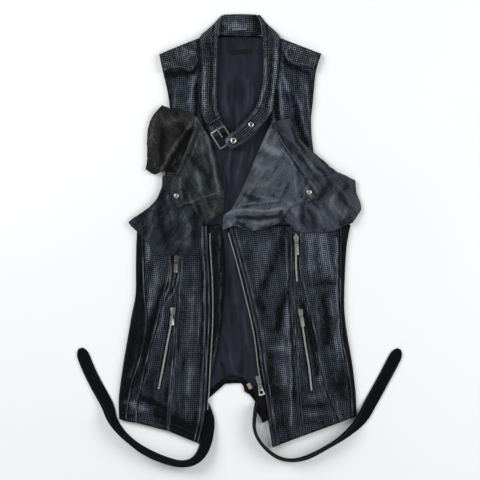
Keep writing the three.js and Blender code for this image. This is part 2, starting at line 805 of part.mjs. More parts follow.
const onInsert = (x, y) => bodyTop(x, y) + 0.55;
const pocketZips = {
  upper_right: [[-124, -34], [-125, -62], [-131, -96]],
  lower_right: [[-130, -140], [-134.5, -172], [-142, -212], [-150, -256], [-158.5, -299]],
  upper_left: [[116, 10], [116, -20], [116, -52], [118, -84]],
  lower_left: [[125, -142], [129, -172], [135, -214], [142, -256], [147, -302]],
};
for (const [name, points] of Object.entries(pocketZips))
  add(`zip_chain_${name}`, zipChain(points, onInsert, (points.length - 1) * 3), nickel);

// The open main zip: one half along each front edge
const openZipLift = bodyHeight - frontLeather - 0.3;
function besideEdge(rows, shift, count) {
  const points = rows.slice(0, count).map(({ frontEdge: [x, y] }) => [x + shift, y]);
  const [[x1, y1], [x2, y2]] = points;
  const [[x3, y3], [x4, y4]] = points.slice(-2);
  const first = [mix(x1, x2, 0.4), mix(y1, y2, 0.4)];
  const last = [mix(x3, x4, 0.8), mix(y3, y4, 0.8)];
  return [first, ...points.slice(1, -1), last];
}
add(
  "zip_chain_front_right",
  zipChain(besideEdge(lowerRight, chain.half + 0.6, 9), () => openZipLift, 16),
  nickel,
);
add(
  "zip_chain_front_left",
  zipChain(besideEdge(lowerLeft, -chain.half - 0.6, 8), () => openZipLift, 14),
  nickel,
);

// Makes a manifold of a closed geometry, so that it can be joined to another.
function solid(geometry) {
  const bare = geometry.index ? geometry.toNonIndexed() : geometry.clone();
  bare.deleteAttribute("normal");
  bare.deleteAttribute("uv");
  const merged = mergeVertices(bare, 1e-4);
  return new wasm.Manifold(
    new wasm.Mesh({
      numProp: 3,
      vertProperties: new Float32Array(merged.attributes.position.array),
      triVerts: new Uint32Array(merged.index.array),
    }),
  );
}

function joined(...geometries) {
  const whole = geometries.map(solid).reduce((a, b) => a.add(b));
  const mesh = whole.getMesh();
  const geometry = new THREE.BufferGeometry();
  geometry.setAttribute("position", new THREE.Float32BufferAttribute(mesh.vertProperties, 3));
  geometry.setIndex(new THREE.BufferAttribute(new Uint32Array(mesh.triVerts), 1));
  geometry.computeVertexNormals();
  return geometry;
}

function boxAt(size, centre) {
  return new THREE.BoxGeometry(...size).translate(...centre);
}

function outlined(points, depth, low, holes = []) {
  const shape = new THREE.Shape(points.map(([x, y]) => new THREE.Vector2(x, y)));
  for (const hole of holes) shape.holes.push(new THREE.Path(hole.map(([x, y]) => new THREE.Vector2(x, y))));
  return new THREE.ExtrudeGeometry(shape, { depth, bevelEnabled: false }).translate(0, 0, low);
}

// A zip slider, about its pull's hinge line. The pull hangs towards -Y.
function sliderGeometry() {
  const back = slider.long - slider.front;
  const half = slider.wide / 2;
  const body = outlined(
    [
      [-half * 0.62, -slider.front],
      [half * 0.62, -slider.front],
      [half, back * 0.35],
      [half, back * 0.8],
      [half * 0.5, back],
      [-half * 0.5, back],
      [-half, back * 0.8],
      [-half, back * 0.35],
    ],
    slider.thick,
    -1.6 - slider.thick,
  );
  const frontPost = -crossbar.radius - bail.clear - bail.wall;
  const rearPost = frontPost + bail.wall + bail.inside;
  const roof = crossbar.radius + bail.clear;
  const postHigh = roof + bail.wall + 2;
  const postZ = roof + bail.wall - postHigh / 2;
  const whole = rearPost + bail.wall - frontPost;
  return joined(
    body,
    boxAt([bail.wide, bail.wall, postHigh], [0, frontPost + bail.wall / 2, postZ]),
    boxAt([bail.wide, bail.wall, postHigh], [0, rearPost + bail.wall / 2, postZ]),
    boxAt([bail.wide, whole, bail.wall], [0, frontPost + whole / 2, roof + bail.wall / 2]),
  );
}

// A pull tab on the same hinge line: a crossbar, two arms and a plate, drooping a little at rest.
function pullGeometry(long, topHalf, lowHalf, windows = []) {
  const plateEnd = -arm.long - long;
  const plate = outlined(
    [
      [-topHalf, -arm.long],
      [-topHalf, -arm.long - 1],
      [-lowHalf, plateEnd + 1],
      [-lowHalf + 1, plateEnd],
      [lowHalf - 1, plateEnd],
      [lowHalf, plateEnd + 1],
      [topHalf, -arm.long - 1],
      [topHalf, -arm.long],
    ],
    pullThick,
    -pullThick / 2,
    windows,
  );
  const armX = crossbar.half - arm.wide / 2;
  const bar = new THREE.CylinderGeometry(crossbar.radius, crossbar.radius, 2 * crossbar.half, 10);
  const arms = [-armX, armX].map((x) => boxAt([arm.wide, arm.long + 0.4, pullThick], [x, -arm.long / 2 - 0.2, 0]));
  return joined(plate, bar.rotateZ(Math.PI / 2), ...arms).rotateX(THREE.MathUtils.degToRad(pullDroop));
}

// Sliders: where the hinge line is, which way the pull hangs in plan, and the pull's plate
const sliderColumns = ["name", "x", "y", "heading", "clear", "long", "topHalf", "lowHalf"];
const sliders = table(sliderColumns, [
  ["front_left", 41.5, -284, -77, 0.3, 22, 3.6, 6.4],
  ["upper_right", -123, -43, -94, 0.3, 17, 3.8, 3.8],
  ["lower_right", -130.5, -147, -94, 0.3, 18, 3.8, 4.4],
  ["upper_left", 116.5, -3, -87, 0.3, 22, 3.8, 4.0],
  ["lower_left", 125.5, -150, -80, 0.3, 18, 3.6, 3.8],
]);
const hingeRise = slider.thick + 1.6;
for (const row of sliders) {
  const surface = row.name === "front_left" ? openZipLift : onInsert(row.x, row.y);
  const low = surface + chain.high + row.clear;
  const turn = THREE.MathUtils.degToRad(row.heading + 90);
  const windows = row.name === "front_left" ? [
    [[-1.5, -11], [1.5, -11], [1.7, -14], [-1.7, -14]],
    [[-3, -20], [3, -20], [3.6, -25.5], [-3.6, -25.5]],
  ] : [];
  const body = sliderGeometry().rotateZ(turn);
  const tab = pullGeometry(row.long, row.topHalf, row.lowHalf, windows).rotateZ(turn);
  row.hingeZ = low + hingeRise;
  add(`zip_slider_${row.name}`, body.translate(row.x, row.y, row.hingeZ), nickel);
  add(`zip_pull_${row.name}`, tab.translate(row.x, row.y, row.hingeZ), nickel);
}

const tapeTail = [
  [[40.5, -296], [49, -293]],
  [[42.5, -320], [53, -318]],
  [[43.5, -344], [56, -342]],
  [[48, -369], [57.5, -361]],
];
add(
  "zip_tape_tail",
  cloth(tapeTail, { along: 2, across: 2, heightAt: (x, y) => bodyTop(x, y) - frontLeather - 0.4, thickness: 1.1 }),
  leather,
);
add("care_tab", archedStrip([20, -289], [26, -300], 8, 0.5, hemFacingTop + 0.4, 0.6, 4), paleCloth);

// Snaps and eyelets are turned shapes
function cap(radius, high) {
  const profile = [
    [0, 0],
    [radius, 0],
    [radius, high * 0.35],
    [radius * 0.8, high * 0.8],
    [radius * 0.4, high],
    [0, high],
  ];
  return new THREE.LatheGeometry(
    profile.map(([x, y]) => new THREE.Vector2(x, y)),
    14,
  ).rotateX(Math.PI / 2);
}

function ring(outer, inner, high) {
  const profile = [
    [inner, 0],
    [outer, 0],
    [outer - 0.6, high * 0.8],
    [(outer + inner) / 2, high],
    [inner, high * 0.5],
    [inner, 0],
  ];
  return new THREE.LatheGeometry(
    profile.map(([x, y]) => new THREE.Vector2(x, y)),
    16,
  ).rotateX(Math.PI / 2);
}

for (const [name, x, y, radius, high, surface] of [
  ["lapel_snap_right", -123, 86, snapRadius, 3, lapelTop],
  ["lapel_snap_left", 142, 93, snapRadius, 3, lapelTop],
  ["flap_snap_right", -92, 361, coveredSnapRadius, 2.6, shoulderTop],
  ["flap_snap_left", 105, 372, coveredSnapRadius, 2.6, shoulderTop],
])
  add(
    name,
    cap(radius, high).translate(x, y, surface(x, y) + 0.5),
    name.startsWith("lapel") ? nickel : leather,
  );
add("eyelet_front", ring(eyeletRadius, 3, 1.6).translate(-9, 196, 18.5), nickel);
add("eyelet_side", ring(eyeletRadius - 0.8, 2.6, 1.6).translate(26, 228, 17.2), nickel);

// Buckle: a square frame with a prong hinged on its upper bar
function buckleFrame() {
  const long = buckle.long / 2;
  const wide = buckle.wide / 2;
  const chamfer = 2.5;
  const ringPoints = (inset, cut) => [
    [-long + inset, -wide + inset + cut],
    [-long + inset + cut, -wide + inset],
    [long - inset - cut, -wide + inset],
    [long - inset, -wide + inset + cut],
    [long - inset, wide - inset - cut],
    [long - inset - cut, wide - inset],
    [-long + inset + cut, wide - inset],
    [-long + inset, wide - inset - cut],
  ];
  return outlined(ringPoints(0, chamfer), buckle.thick, 0, [ringPoints(buckle.bar, 0.8).reverse()]);
}
const buckleTurn = THREE.MathUtils.degToRad(buckle.angle);
add("buckle_frame", buckleFrame().rotateZ(buckleTurn).translate(buckle.x, buckle.y, buckle.low), nickel);
add(
  "buckle_prong",
  boxAt([20, 2.4, 1.8], [-buckle.long / 2 + 9.6, 0, buckle.thick + 1.2])
    .rotateZ(buckleTurn)
    .translate(buckle.x, buckle.y, buckle.low),
  nickel,
);

// The origin is the middle of the footprint, on the surface the vest lies on.
const box = new THREE.Box3().setFromObject(group);
group.position.set(-(box.min.x + box.max.x) / 2, -(box.min.y + box.max.y) / 2, -box.min.z);

export default group;
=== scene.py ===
# %% [markdown]
# # A leather biker vest, laid flat
# The solids from the CAD pack give every panel its size and its place. This notebook gives them their looks:
# soft creases, seams with stitches, raw edges, perforated leather, zips with teeth, and worn nickel.
# Everything is in metres, in the frame of the pack: X across the vest, Y from hem to collar, Z up.

# %% The frame
import math

import bmesh
import bpy
import numpy as np
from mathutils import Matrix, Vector, noise
from mathutils.bvhtree import BVHTree
from mathutils.kdtree import KDTree


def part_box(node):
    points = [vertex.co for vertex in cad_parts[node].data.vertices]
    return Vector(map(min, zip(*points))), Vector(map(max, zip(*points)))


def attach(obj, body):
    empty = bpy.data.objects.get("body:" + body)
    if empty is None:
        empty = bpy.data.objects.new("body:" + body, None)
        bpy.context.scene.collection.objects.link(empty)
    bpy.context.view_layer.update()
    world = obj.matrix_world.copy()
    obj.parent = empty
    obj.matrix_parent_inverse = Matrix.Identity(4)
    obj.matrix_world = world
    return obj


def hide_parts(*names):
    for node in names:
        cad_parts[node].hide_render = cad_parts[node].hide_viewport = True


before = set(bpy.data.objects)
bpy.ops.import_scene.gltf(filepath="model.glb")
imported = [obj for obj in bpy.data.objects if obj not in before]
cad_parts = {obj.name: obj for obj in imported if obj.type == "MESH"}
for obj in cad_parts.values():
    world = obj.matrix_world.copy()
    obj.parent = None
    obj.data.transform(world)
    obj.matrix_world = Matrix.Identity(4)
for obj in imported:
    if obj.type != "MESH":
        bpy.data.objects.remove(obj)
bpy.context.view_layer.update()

MM = 0.001
# The raw edges are torn with Blender's noise, which starts from the clock unless it is given a seed
noise.seed_set(7)
print("nodes in the frame:", len(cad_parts))

# %% [markdown]
# ## Where things are
# The vest was measured in two ways: in millimetres from its middle, as the solids were drawn, and on
# squared paper with 2 mm squares, counted from the top left corner. Both are turned into the pack's frame
# here. A snap, whose place is known in the drawing, gives the shift between the two.

# %% Two rulers
SNAP_DRAWN = Vector((142, 93, 0))
snap_low, snap_high = (Vector(corner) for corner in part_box("lapel_snap_left"))
SHIFT = (snap_low + snap_high) / 2 - SNAP_DRAWN * MM
SHIFT.z = 0


def drawn(x, y):
    return Vector((x, y, 0)) * MM + SHIFT


def squares(points):
    """Points on the squared paper, as an array in metres."""
    return np.array([[(2 * c - 476) * MM + SHIFT.x, (478 - 2 * r) * MM + SHIFT.y] for c, r in points])


def drawn_line(points):
    return np.array([drawn(x, y)[:2] for x, y in points])


print("shift of the drawing:", [round(v / MM, 2) for v in SHIFT])

# %% [markdown]
# ## Camera, floor and light
# The vest was looked at from straight above, so the camera hangs three metres over it and looks down.
# The floor is a pale sheet of studio paper. A wide soft light from the upper left, a weaker one from the
# right and a low one from the hem side make the ridges of the leather shine and leave its troughs dark.

# %% Camera
CAMERA_HIGH = 3.0
SEEN = 0.96  # the width of the paper that the picture shows, at the height of the fronts
FRONTS_HIGH = 8 * MM
centre = drawn(4, -2)
camera_data = bpy.data.cameras.new("camera_above")
camera = bpy.data.objects.new("camera_above", camera_data)
bpy.context.collection.objects.link(camera)
camera_data.sensor_width = 36
camera_data.lens = camera_data.sensor_width * (CAMERA_HIGH - FRONTS_HIGH) / SEEN
camera_data.clip_end = 20
camera.location = (centre.x, centre.y, CAMERA_HIGH)
bpy.context.scene.camera = camera
bpy.context.scene.view_settings.view_transform = "Standard"
bpy.context.scene.view_settings.look = "None"
print("lens:", round(camera_data.lens, 2), "mm")

# %% Lights
LAMP_SIZE = 1.7
world = bpy.data.worlds.new("studio_air")
world.use_nodes = True
air = world.node_tree.nodes["Background"]
air.inputs["Color"].default_value = (0.93, 0.96, 1.0, 1)
air.inputs["Strength"].default_value = 0.28
bpy.context.scene.world = world
for name, spot, watts in [
    ("soft_upper_left", (-1.9, 1.2, 1.6), 54),
    ("soft_right", (2.1, 0.5, 1.5), 37),
    ("soft_hem", (0.2, -2.2, 1.7), 15),
]:
    lamp_data = bpy.data.lights.new(name, "AREA")
    lamp_data.shape = "DISK"
    lamp_data.size = LAMP_SIZE
    lamp_data.energy = watts
    lamp = bpy.data.objects.new(name, lamp_data)
    lamp.location = spot
    lamp.rotation_euler = (-Vector(spot)).to_track_quat("-Z", "Y").to_euler()
    bpy.context.collection.objects.link(lamp)
print("lights:", [light.name for light in bpy.data.lights])

# %% [markdown]
# ## A way to write finishes
# A finish is a material. Its sums are written as ordinary expressions: a Field wraps a socket, and each
# operator on it adds the node that does that sum. Every other node comes from Finish.node.

# %% Field and Finish
class Field:
    """The value of a socket; arithmetic on it adds Math nodes."""

    def __init__(self, finish, socket):
        self.finish = finish
        self.socket = socket

    def math(self, operation, *values):
        return self.finish.node("Math", {"operation": operation}, dict(enumerate(values)))

    def __add__(self, other):
        return self.math("ADD", self, other)

    def __sub__(self, other):
        return self.math("SUBTRACT", self, other)

    def __rsub__(self, other):
        return self.math("SUBTRACT", other, self)

    def __mul__(self, other):
        return self.math("MULTIPLY", self, other)

    __radd__ = __add__
    __rmul__ = __mul__

    def ramp(self, low, high):
        """0 below low and 1 above high, with a smooth step between. low may be above high."""
        settings = {"interpolation_type": "SMOOTHSTEP"}
        return self.finish.node("MapRange", settings, {"Value": self, "From Min": low, "From Max": high})

    def kept(self):
        """Held between 0 and 1."""
        return self.finish.node("Clamp", {}, {"Value": self})

    def wave(self):
        return self.math("SINE", self)


class Finish:
    """A material with one Principled shader, whose constant sockets are set by name."""

    def __init__(self, name, **constants):
        self.material = bpy.data.materials.new(name)
        self.material.use_nodes = True
        self.tree = self.material.node_tree
        self.shader = self.tree.nodes["Principled BSDF"]
        for socket, value in constants.items():
            self.shader.inputs[socket.replace("_", " ")].default_value = value

    def node(self, kind, settings, inputs, out=0):
        made = self.tree.nodes.new("ShaderNode" + kind)
        for setting, value in settings.items():
            setattr(made, setting, value)
        for socket, value in inputs.items():
            if isinstance(value, Field):
                self.tree.links.new(value.socket, made.inputs[socket])
            else:
                made.inputs[socket].default_value = value
        return Field(self, made.outputs[out])

    def mix(self, share, first, second):
        """A colour between two colours."""
        pair = {0: share}
        for socket, value in ((6, first), (7, second)):
            pair[socket] = value if isinstance(value, Field) else (*value, 1)
        return self.node("Mix", {"data_type": "RGBA"}, pair, out=2)

    def vector(self, operation, first, second=(0.0, 0.0, 0.0), out=0):
        return self.node("VectorMath", {"operation": operation}, {0: first, 1: second}, out)

    def scaled(self, coordinates, *scale):
        return self.node("Mapping", {}, {"Vector": coordinates, "Scale": scale})

    def noise(self, coordinates, scale, detail=3.0, roughness=0.55):
        settings = {"Vector": coordinates, "Scale": scale, "Detail": detail, "Roughness": roughness}
        return self.node("TexNoise", {}, settings)

    def attribute(self, name):
        return self.node("Attribute", {"attribute_name": name}, {}, out=2)

    def bumped(self, height, distance, strength=1.0, over=None):
        inputs = {"Height": height, "Distance": distance, "Strength": strength}
        if over is not None:
            inputs["Normal"] = over
        return self.node("Bump", {}, inputs)

    def set(self, **links):
        for socket, value in links.items():
            self.tree.links.new(value.socket, self.shader.inputs[socket.replace("_", " ")])
        return self.material

    def grain(self):
        return self.node("UVMap", {"uv_map": "grain"}, {})

    def place(self):
        return self.node("TexCoord", {}, {}, out=3)


# %% [markdown]
# ## Leather
# The vest is cut from black leather that is punched all over with a square grid of small holes, 4 mm
# apart. It is worn: its ridges are a little shinier and painted lighter, partly as grey wear and partly as
# painted highlight, and its troughs are painted darker, as painted shade. The same leather without holes
# makes the side panels, straps and facings. The lapels and raw-edged facings show a softer, matt charcoal
# leather, the raw ones with a brownish cut edge. One function makes them all, so that their pebble, fine
# wrinkles and painted light agree. "wear_and_shading", the wear and painted light and shade, is written on
# each piece's points, from 0 in a trough to 1 on a ridge, and the grain map runs in metres along each piece.

# %% Leather finishes
HOLE_PITCH = 4 * MM
# Painted shade: the holes are painted near black, for the shade inside each hole
HOLE_SHADE = (0.0014, 0.0016, 0.002)
GREENISH, BLUISH = (0.95, 1.0, 0.93), (1.0, 0.99, 1.05)


def punched_dots(finish, grain):
    """How far a place is from the middle of its hole, in hole pitches."""
    cell = finish.vector("FRACTION", finish.scaled(grain, *[1 / HOLE_PITCH] * 3))
    middle = finish.vector("SUBTRACT", cell, (0.5, 0.5, 0.0))
    flat = finish.vector("MULTIPLY", middle, (1.0, 1.0, 0.0))
    return finish.vector("LENGTH", flat, out=1)


def leather(
        name, dark, plain, worn_and_lit, holes=False, rough=0.5, pebble=1.0, raw=None, wrinkle=1.0, **constants):
    finish = Finish(name, **constants)
    grain = finish.grain()
    wear_and_shading = finish.attribute("wear_and_shading")
    # How light a place is painted: the wear and painted light and shade written on the points, broken up by
    # clouds, streaks, specks and cracks
    clouds = finish.noise(grain, 24.0, 4.0, 0.62)
    speckle = finish.noise(grain, 380.0, 2.0)
    streaks = finish.noise(finish.scaled(grain, 1.0, 0.3, 1.0), 150.0, 4.0, 0.65)
    bent = finish.vector("ADD", grain, finish.scaled(finish.noise(grain, 90.0), 0.006, 0.006, 0.0))
    edges = finish.node("TexVoronoi", {"feature": "DISTANCE_TO_EDGE"}, {"Vector": bent, "Scale": 190.0})
    cracks = edges.ramp(0.0, 0.16)
    lift = wear_and_shading + (clouds - 0.5) * 0.55 * wrinkle + (streaks - 0.5) * 0.8 * wrinkle + (speckle - 0.5) * 0.3
    lift = (lift + (cracks - 0.8) * 0.22 * wrinkle).kept()
    # Colour, with a slow drift of hue, and roughness
    colour = finish.mix(lift.ramp(0.0, 0.5), dark, plain)
    # Ridges get the third colour: partly grey wear, partly painted highlight
    colour = finish.mix(lift.ramp(0.45, 1.0), colour, worn_and_lit)
    hue = finish.mix(finish.noise(grain, 9.0, 2.0).ramp(0.4, 0.6), GREENISH, BLUISH)
    colour = finish.vector("MULTIPLY", colour, hue)
    roughness = rough + (clouds - 0.5) * 0.3 - lift * 0.12
    # Relief: pebble, cracks and fine wrinkles
    pebbles = {"Vector": grain, "Scale": 720.0, "Smoothness": 0.6}
    cells = finish.node("TexVoronoi", {"feature": "SMOOTH_F1"}, pebbles)
    normal = finish.bumped(cells, 0.00024 * pebble)
    normal = finish.bumped(cracks, 0.0005 * wrinkle, over=normal)
    wrinkles = finish.noise(finish.scaled(grain, 1.0, 0.5, 1.0), 105.0, 6.0, 0.7)
    normal = finish.bumped(wrinkles, 0.0062 * wrinkle, over=normal)
    if raw is not None:
        cut = finish.attribute("raw_edge")
        colour = finish.mix(cut * 0.6, colour, raw)
        roughness = roughness + cut * 0.25
    if holes:
        away = punched_dots(finish, grain)
        punched = away.ramp(0.41, 0.32)
        # Painted highlight: the lands between the holes are painted lighter where the ridge tone is high
        land_highlight = away.ramp(0.44, 0.64) * lift
        colour = finish.mix(land_highlight * 0.42, colour, [min(1.0, 1.5 * v) for v in worn_and_lit])
        colour = finish.mix(punched * 0.84, colour, HOLE_SHADE)
        roughness = roughness + punched * 0.4
        normal = finish.bumped(1 - punched, 0.0008, over=normal)
    return finish.set(Base_Color=colour, Roughness=roughness.kept(), Normal=normal)


perforated = leather(
    "perforated_leather", (0.0026, 0.0032, 0.0046), (0.036, 0.043, 0.0585), (0.175, 0.2, 0.255),
    holes=True, rough=0.42, wrinkle=0.8, Specular_IOR_Level=0.09)
collar_leather = leather(
    "collar_perforated_leather", (0.0028, 0.0034, 0.0046), (0.034, 0.0395, 0.051), (0.31, 0.345, 0.405),
    holes=True, rough=0.42, Specular_IOR_Level=0.1)
plain_leather = leather(
    "plain_black_leather", (0.0016, 0.002, 0.0026), (0.0052, 0.0068, 0.0092), (0.045, 0.053, 0.066),
    rough=0.4, Specular_IOR_Level=0.06)
strap_leather = leather(
    "strap_leather", (0.0015, 0.0018, 0.0021), (0.0046, 0.0058, 0.0072), (0.024, 0.028, 0.033),
    rough=0.8, wrinkle=0.5, Specular_IOR_Level=0.05)
lapel_right_leather = leather(
    "matt_leather_dark", (0.007, 0.0088, 0.0094), (0.032, 0.0375, 0.04), (0.1, 0.112, 0.117),
    rough=0.5, wrinkle=1.0, raw=(0.05, 0.042, 0.036), Specular_IOR_Level=0.09)
lapel_left_leather = leather(
    "matt_leather_pale", (0.0125, 0.015, 0.0198), (0.072, 0.083, 0.103), (0.16, 0.18, 0.215),
    rough=0.5, wrinkle=0.75, raw=(0.09, 0.08, 0.072), Specular_IOR_Level=0.09)
# Edge leather for the turned rolls and the hanger loop: light partly as rubbing and partly as painted
# highlight
edge_leather = leather(
    "rubbed_and_highlit_edge_leather", (0.008, 0.0095, 0.0125), (0.052, 0.059, 0.073), (0.22, 0.24, 0.275),
    rough=0.42, pebble=0.5, Specular_IOR_Level=0.15)
suede_brown = leather(
    "raw_leather_brownish", (0.0052, 0.0053, 0.0054), (0.022, 0.022, 0.0222), (0.072, 0.071, 0.07),
    rough=0.8, raw=(0.04, 0.031, 0.026), pebble=1.6, Specular_IOR_Level=0.05, Sheen_Weight=0.02)
suede_navy = leather(
    "raw_leather_dark", (0.006, 0.0072, 0.0096), (0.0245, 0.0285, 0.0385), (0.078, 0.087, 0.106),
    rough=0.7, wrinkle=0.8, raw=(0.05, 0.044, 0.04), pebble=0.8, Specular_IOR_Level=0.06, Sheen_Weight=0.02)
suede_grey = leather(
    "raw_leather_grey", (0.0125, 0.0142, 0.018), (0.054, 0.06, 0.0755), (0.125, 0.137, 0.165),
    rough=0.7, wrinkle=0.7, raw=(0.085, 0.07, 0.058), pebble=0.8, Specular_IOR_Level=0.06, Sheen_Weight=0.02)
print("leathers:", [m.name for m in bpy.data.materials if "leather" in m.name])

# %% [markdown]
# ## Cloth, thread and metal
# The lining is a navy twill with a faint sheen. Its diagonal ribs, like the threads of label, tab and zip
# tape, are two crossed waves. Thread is waxed and dark grey. The metal parts are nickel plate that has
# gone dull and brownish in the hollows and stays bright where it is rubbed.

# %% Cloth finishes
def woven(name, dark, light, per_metre, slant=0.0, rough=0.8, **constants):
    finish = Finish(name, **constants)
    grain = finish.grain()
    across = finish.node("SeparateXYZ", {}, {0: grain})
    along = Field(finish, across.socket.node.outputs[1])
    warp = ((across + along * slant) * (math.tau * per_metre)).wave()
    weft = ((along - across * slant) * (math.tau * per_metre * 0.8)).wave()
    threads = warp * 0.5 + weft * 0.3
    clouds = finish.noise(grain, 14.0, 3.0, 0.6)
    wear_and_shading = finish.attribute("wear_and_shading")
    # The wear and painted light and shade of the folds, written on the points, with clouds and threads
    share = (wear_and_shading * 0.9 + (clouds - 0.5) * 0.7 + threads * 0.12).kept()
    colour = finish.mix(share, dark, light)
    normal = finish.bumped(threads, 0.0001)
    soft = finish.noise(finish.scaled(grain, 1.0, 0.22, 1.0), 38.0, 4.0, 0.55)
    normal = finish.bumped(soft, 0.004, over=normal)
    roughness = rough + threads * 0.05
    return finish.set(Base_Color=colour, Roughness=roughness.kept(), Normal=normal)


lining_cloth = woven(
    "navy_lining", (0.0035, 0.0042, 0.0075), (0.029, 0.034, 0.055), 620.0, slant=1.0, rough=0.6,
    Specular_IOR_Level=0.12, Sheen_Weight=0.04)
label_cloth = woven(
    "black_label", (0.004, 0.004, 0.005), (0.013, 0.013, 0.016), 1400.0, Specular_IOR_Level=0.15)
tab_cloth = woven("pale_tab", (0.2, 0.14, 0.1), (0.5, 0.42, 0.33), 900.0, rough=0.85)
zip_tape = woven(
    "zip_tape_weave", (0.0025, 0.0025, 0.003), (0.0075, 0.0075, 0.009), 900.0, rough=0.9,
    Specular_IOR_Level=0.15)
print("cloths:", lining_cloth.name, label_cloth.name, tab_cloth.name, zip_tape.name)

# %% Thread and metal finishes
def thread(name, low, high):
    finish = Finish(name, Roughness=0.6)
    twist = finish.noise(finish.place(), 900.0, 2.0)
    return finish.set(Base_Color=finish.mix(twist, low, high), Normal=finish.bumped(twist, 0.0001))


def metal(name, dull, bright, rough, size):
    """Nickel with smears about 1 / size metres long, dull in the hollows of its pits."""
    finish = Finish(name, Metallic=1.0)
    place = finish.place()
    smears = finish.noise(place, size, 4.0, 0.65)
    pits = finish.noise(place, size * 14, 2.0)
    share = (smears * 1.6 - 0.3 + (pits - 0.5) * 0.3).kept()
    roughness = rough + (1 - share) * 0.22
    normal = finish.bumped(pits, 0.00008)
    return finish.set(Base_Color=finish.mix(share, dull, bright), Roughness=roughness, Normal=normal)


dark_thread = thread("dark_thread", (0.014, 0.016, 0.02), (0.045, 0.05, 0.06))
grey_thread = thread("grey_thread", (0.05, 0.055, 0.065), (0.16, 0.17, 0.19))
nickel = metal("worn_nickel", (0.15, 0.148, 0.14), (0.88, 0.87, 0.84), 0.22, 300.0)
old_nickel = metal("aged_nickel", (0.05, 0.049, 0.046), (0.6, 0.59, 0.56), 0.24, 340.0)
black_nickel = metal("dark_nickel", (0.015, 0.015, 0.016), (0.2, 0.2, 0.195), 0.3, 340.0)
teeth_metal = metal("zip_teeth_nickel", (0.6, 0.6, 0.59), (0.98, 0.98, 0.96), 0.48, 260.0)
print("materials:", len(bpy.data.materials))

# %% [markdown]
# ## The floor
# A single sheet of pale paper, a little uneven in tone so that it looks like paper and not like nothing.

# %% Floor
bpy.ops.object.select_all(action="DESELECT")
bpy.ops.mesh.primitive_plane_add(size=8, location=(0, 0, -0.0004))
floor = bpy.context.object
floor.name = "studio_floor"
paper = Finish("pale_paper", Roughness=0.9, Specular_IOR_Level=0.1)
tone = paper.noise(paper.place(), 3.0, 2.0)
floor.data.materials.append(paper.set(Base_Color=paper.mix(tone, (0.9, 0.9, 0.9), (0.94, 0.94, 0.94))))
print("floor:", [round(v, 2) for v in floor.dimensions], "m")

# %% [markdown]
# ## Seam lines
# The fronts are cut in strips that run from the chest seam to the hem. Their cutting lines are needed for
# the welts beside the seams and for the stitches, so they are written down here as drawn, in millimetres.

# %% Seam lines of the fronts
HANDS = (("right", 1), ("left", -1))
LINES = ["side", "side_seam", "pocket_outer", "pocket_inner", "front_edge"]
LOWER = {
    # Each row gives one place on each of the five lines, from the chest seam down to the hem
    "right": [
        [(-202, 27), (-190, 27), (-134, 27), (-112, 27), (-60, 27)],
        [(-204, -10), (-189, -10), (-134, -15), (-113, -15), (-59, -15)],
        [(-205, -60), (-188, -58), (-136, -62), (-115, -62), (-56, -62)],
        [(-205, -112), (-186, -108), (-148, -114), (-121, -112), (-54, -112)],
        [(-213, -150), (-182, -152), (-158, -154), (-124, -155), (-54, -158)],
        [(-221.5, -200), (-185, -200), (-170, -200), (-125, -202), (-56, -206)],
        [(-229, -243), (-196, -245), (-182, -246), (-129, -248), (-59, -252)],
        [(-235, -284), (-210, -287), (-192, -290), (-133, -293), (-61, -298)],
        [(-239.5, -322), (-218, -326), (-200, -330), (-137, -338), (-65, -352)],
        [(-238.5, -360), (-223, -365), (-203, -368), (-140, -384), (-77, -410)],
    ],
    "left": [
        [(226, 27), (204, 27), (124, 27), (110, 27), (-20, 27)],
        [(218.5, -8), (203, -12), (123, -15), (109, -15), (-9, -12)],
        [(215, -58), (203, -60), (123, -60), (109, -60), (4, -58)],
        [(213, -112), (203, -108), (134, -110), (110, -112), (17, -110)],
        [(214, -154), (204, -156), (146, -158), (111, -160), (29, -160)],
        [(220, -198), (207, -202), (155, -204), (114, -206), (38, -208)],
        [(228, -242), (216, -245), (163, -248), (118, -250), (43, -252)],
        [(233.5, -286), (223, -290), (174, -294), (121, -296), (51, -298)],
        [(237, -322), (226, -326), (188, -332), (124, -342), (58, -348)],
        [(237.5, -355), (227, -358), (205, -367), (130, -394), (69, -417)],
    ],
}


LINE_STEP = 4 * MM


def smooth_line(points, step=LINE_STEP):
    """A smooth line through points of any dimension, resampled at an even step."""
    p = np.asarray(points, float)
    if len(p) > 2:
        p = np.vstack([2 * p[0] - p[1], p, 2 * p[-1] - p[-2]])
        fine = []
        for a, b, c, d in zip(p, p[1:], p[2:], p[3:]):
            for t in np.linspace(0, 1, 16, endpoint=False):
                square, cube = 2 * a - 5 * b + 4 * c - d, 3 * b - a - 3 * c + d
                fine.append(0.5 * (2 * b + (c - a) * t + square * t**2 + cube * t**3))
        p = np.array(fine + [p[-2]])
    gone = np.concatenate([[0], np.cumsum(np.linalg.norm(np.diff(p, axis=0), axis=1))])
    count = max(2, int(round(gone[-1] / step)) + 1)
    want = np.linspace(0, gone[-1], count)
    return np.stack([np.interp(want, gone, p[:, k]) for k in range(p.shape[1])], axis=1)


def beside(line, distance):
    """A flat line moved sideways, to its left for a positive distance in millimetres."""
    way = np.gradient(line[:, :2], axis=0)
    way /= np.linalg.norm(way, axis=1)[:, None]
    return line[:, :2] + distance * MM * np.stack([-way[:, 1], way[:, 0]], axis=1)


SEAMS = {}
for hand, rows in LOWER.items():
    for number, line_name in enumerate(LINES):
        SEAMS[hand, line_name] = smooth_line(drawn_line([row[number] for row in rows]))
print("seam lines:", len(SEAMS), "of about", round(sum(map(len, SEAMS.values())) * LINE_STEP, 2), "m")

# %% [markdown]
# ## Creases
# Leather that has been worn folds where the body bends, and keeps those folds when it lies flat. Each
# crease is a line on the squared paper with a rise in millimetres (a trough where it is negative), a
# width, and a lean that makes one flank steeper than the other. Those on the body lift every layer above
# them too; those of the flaps and lapels are added on top.

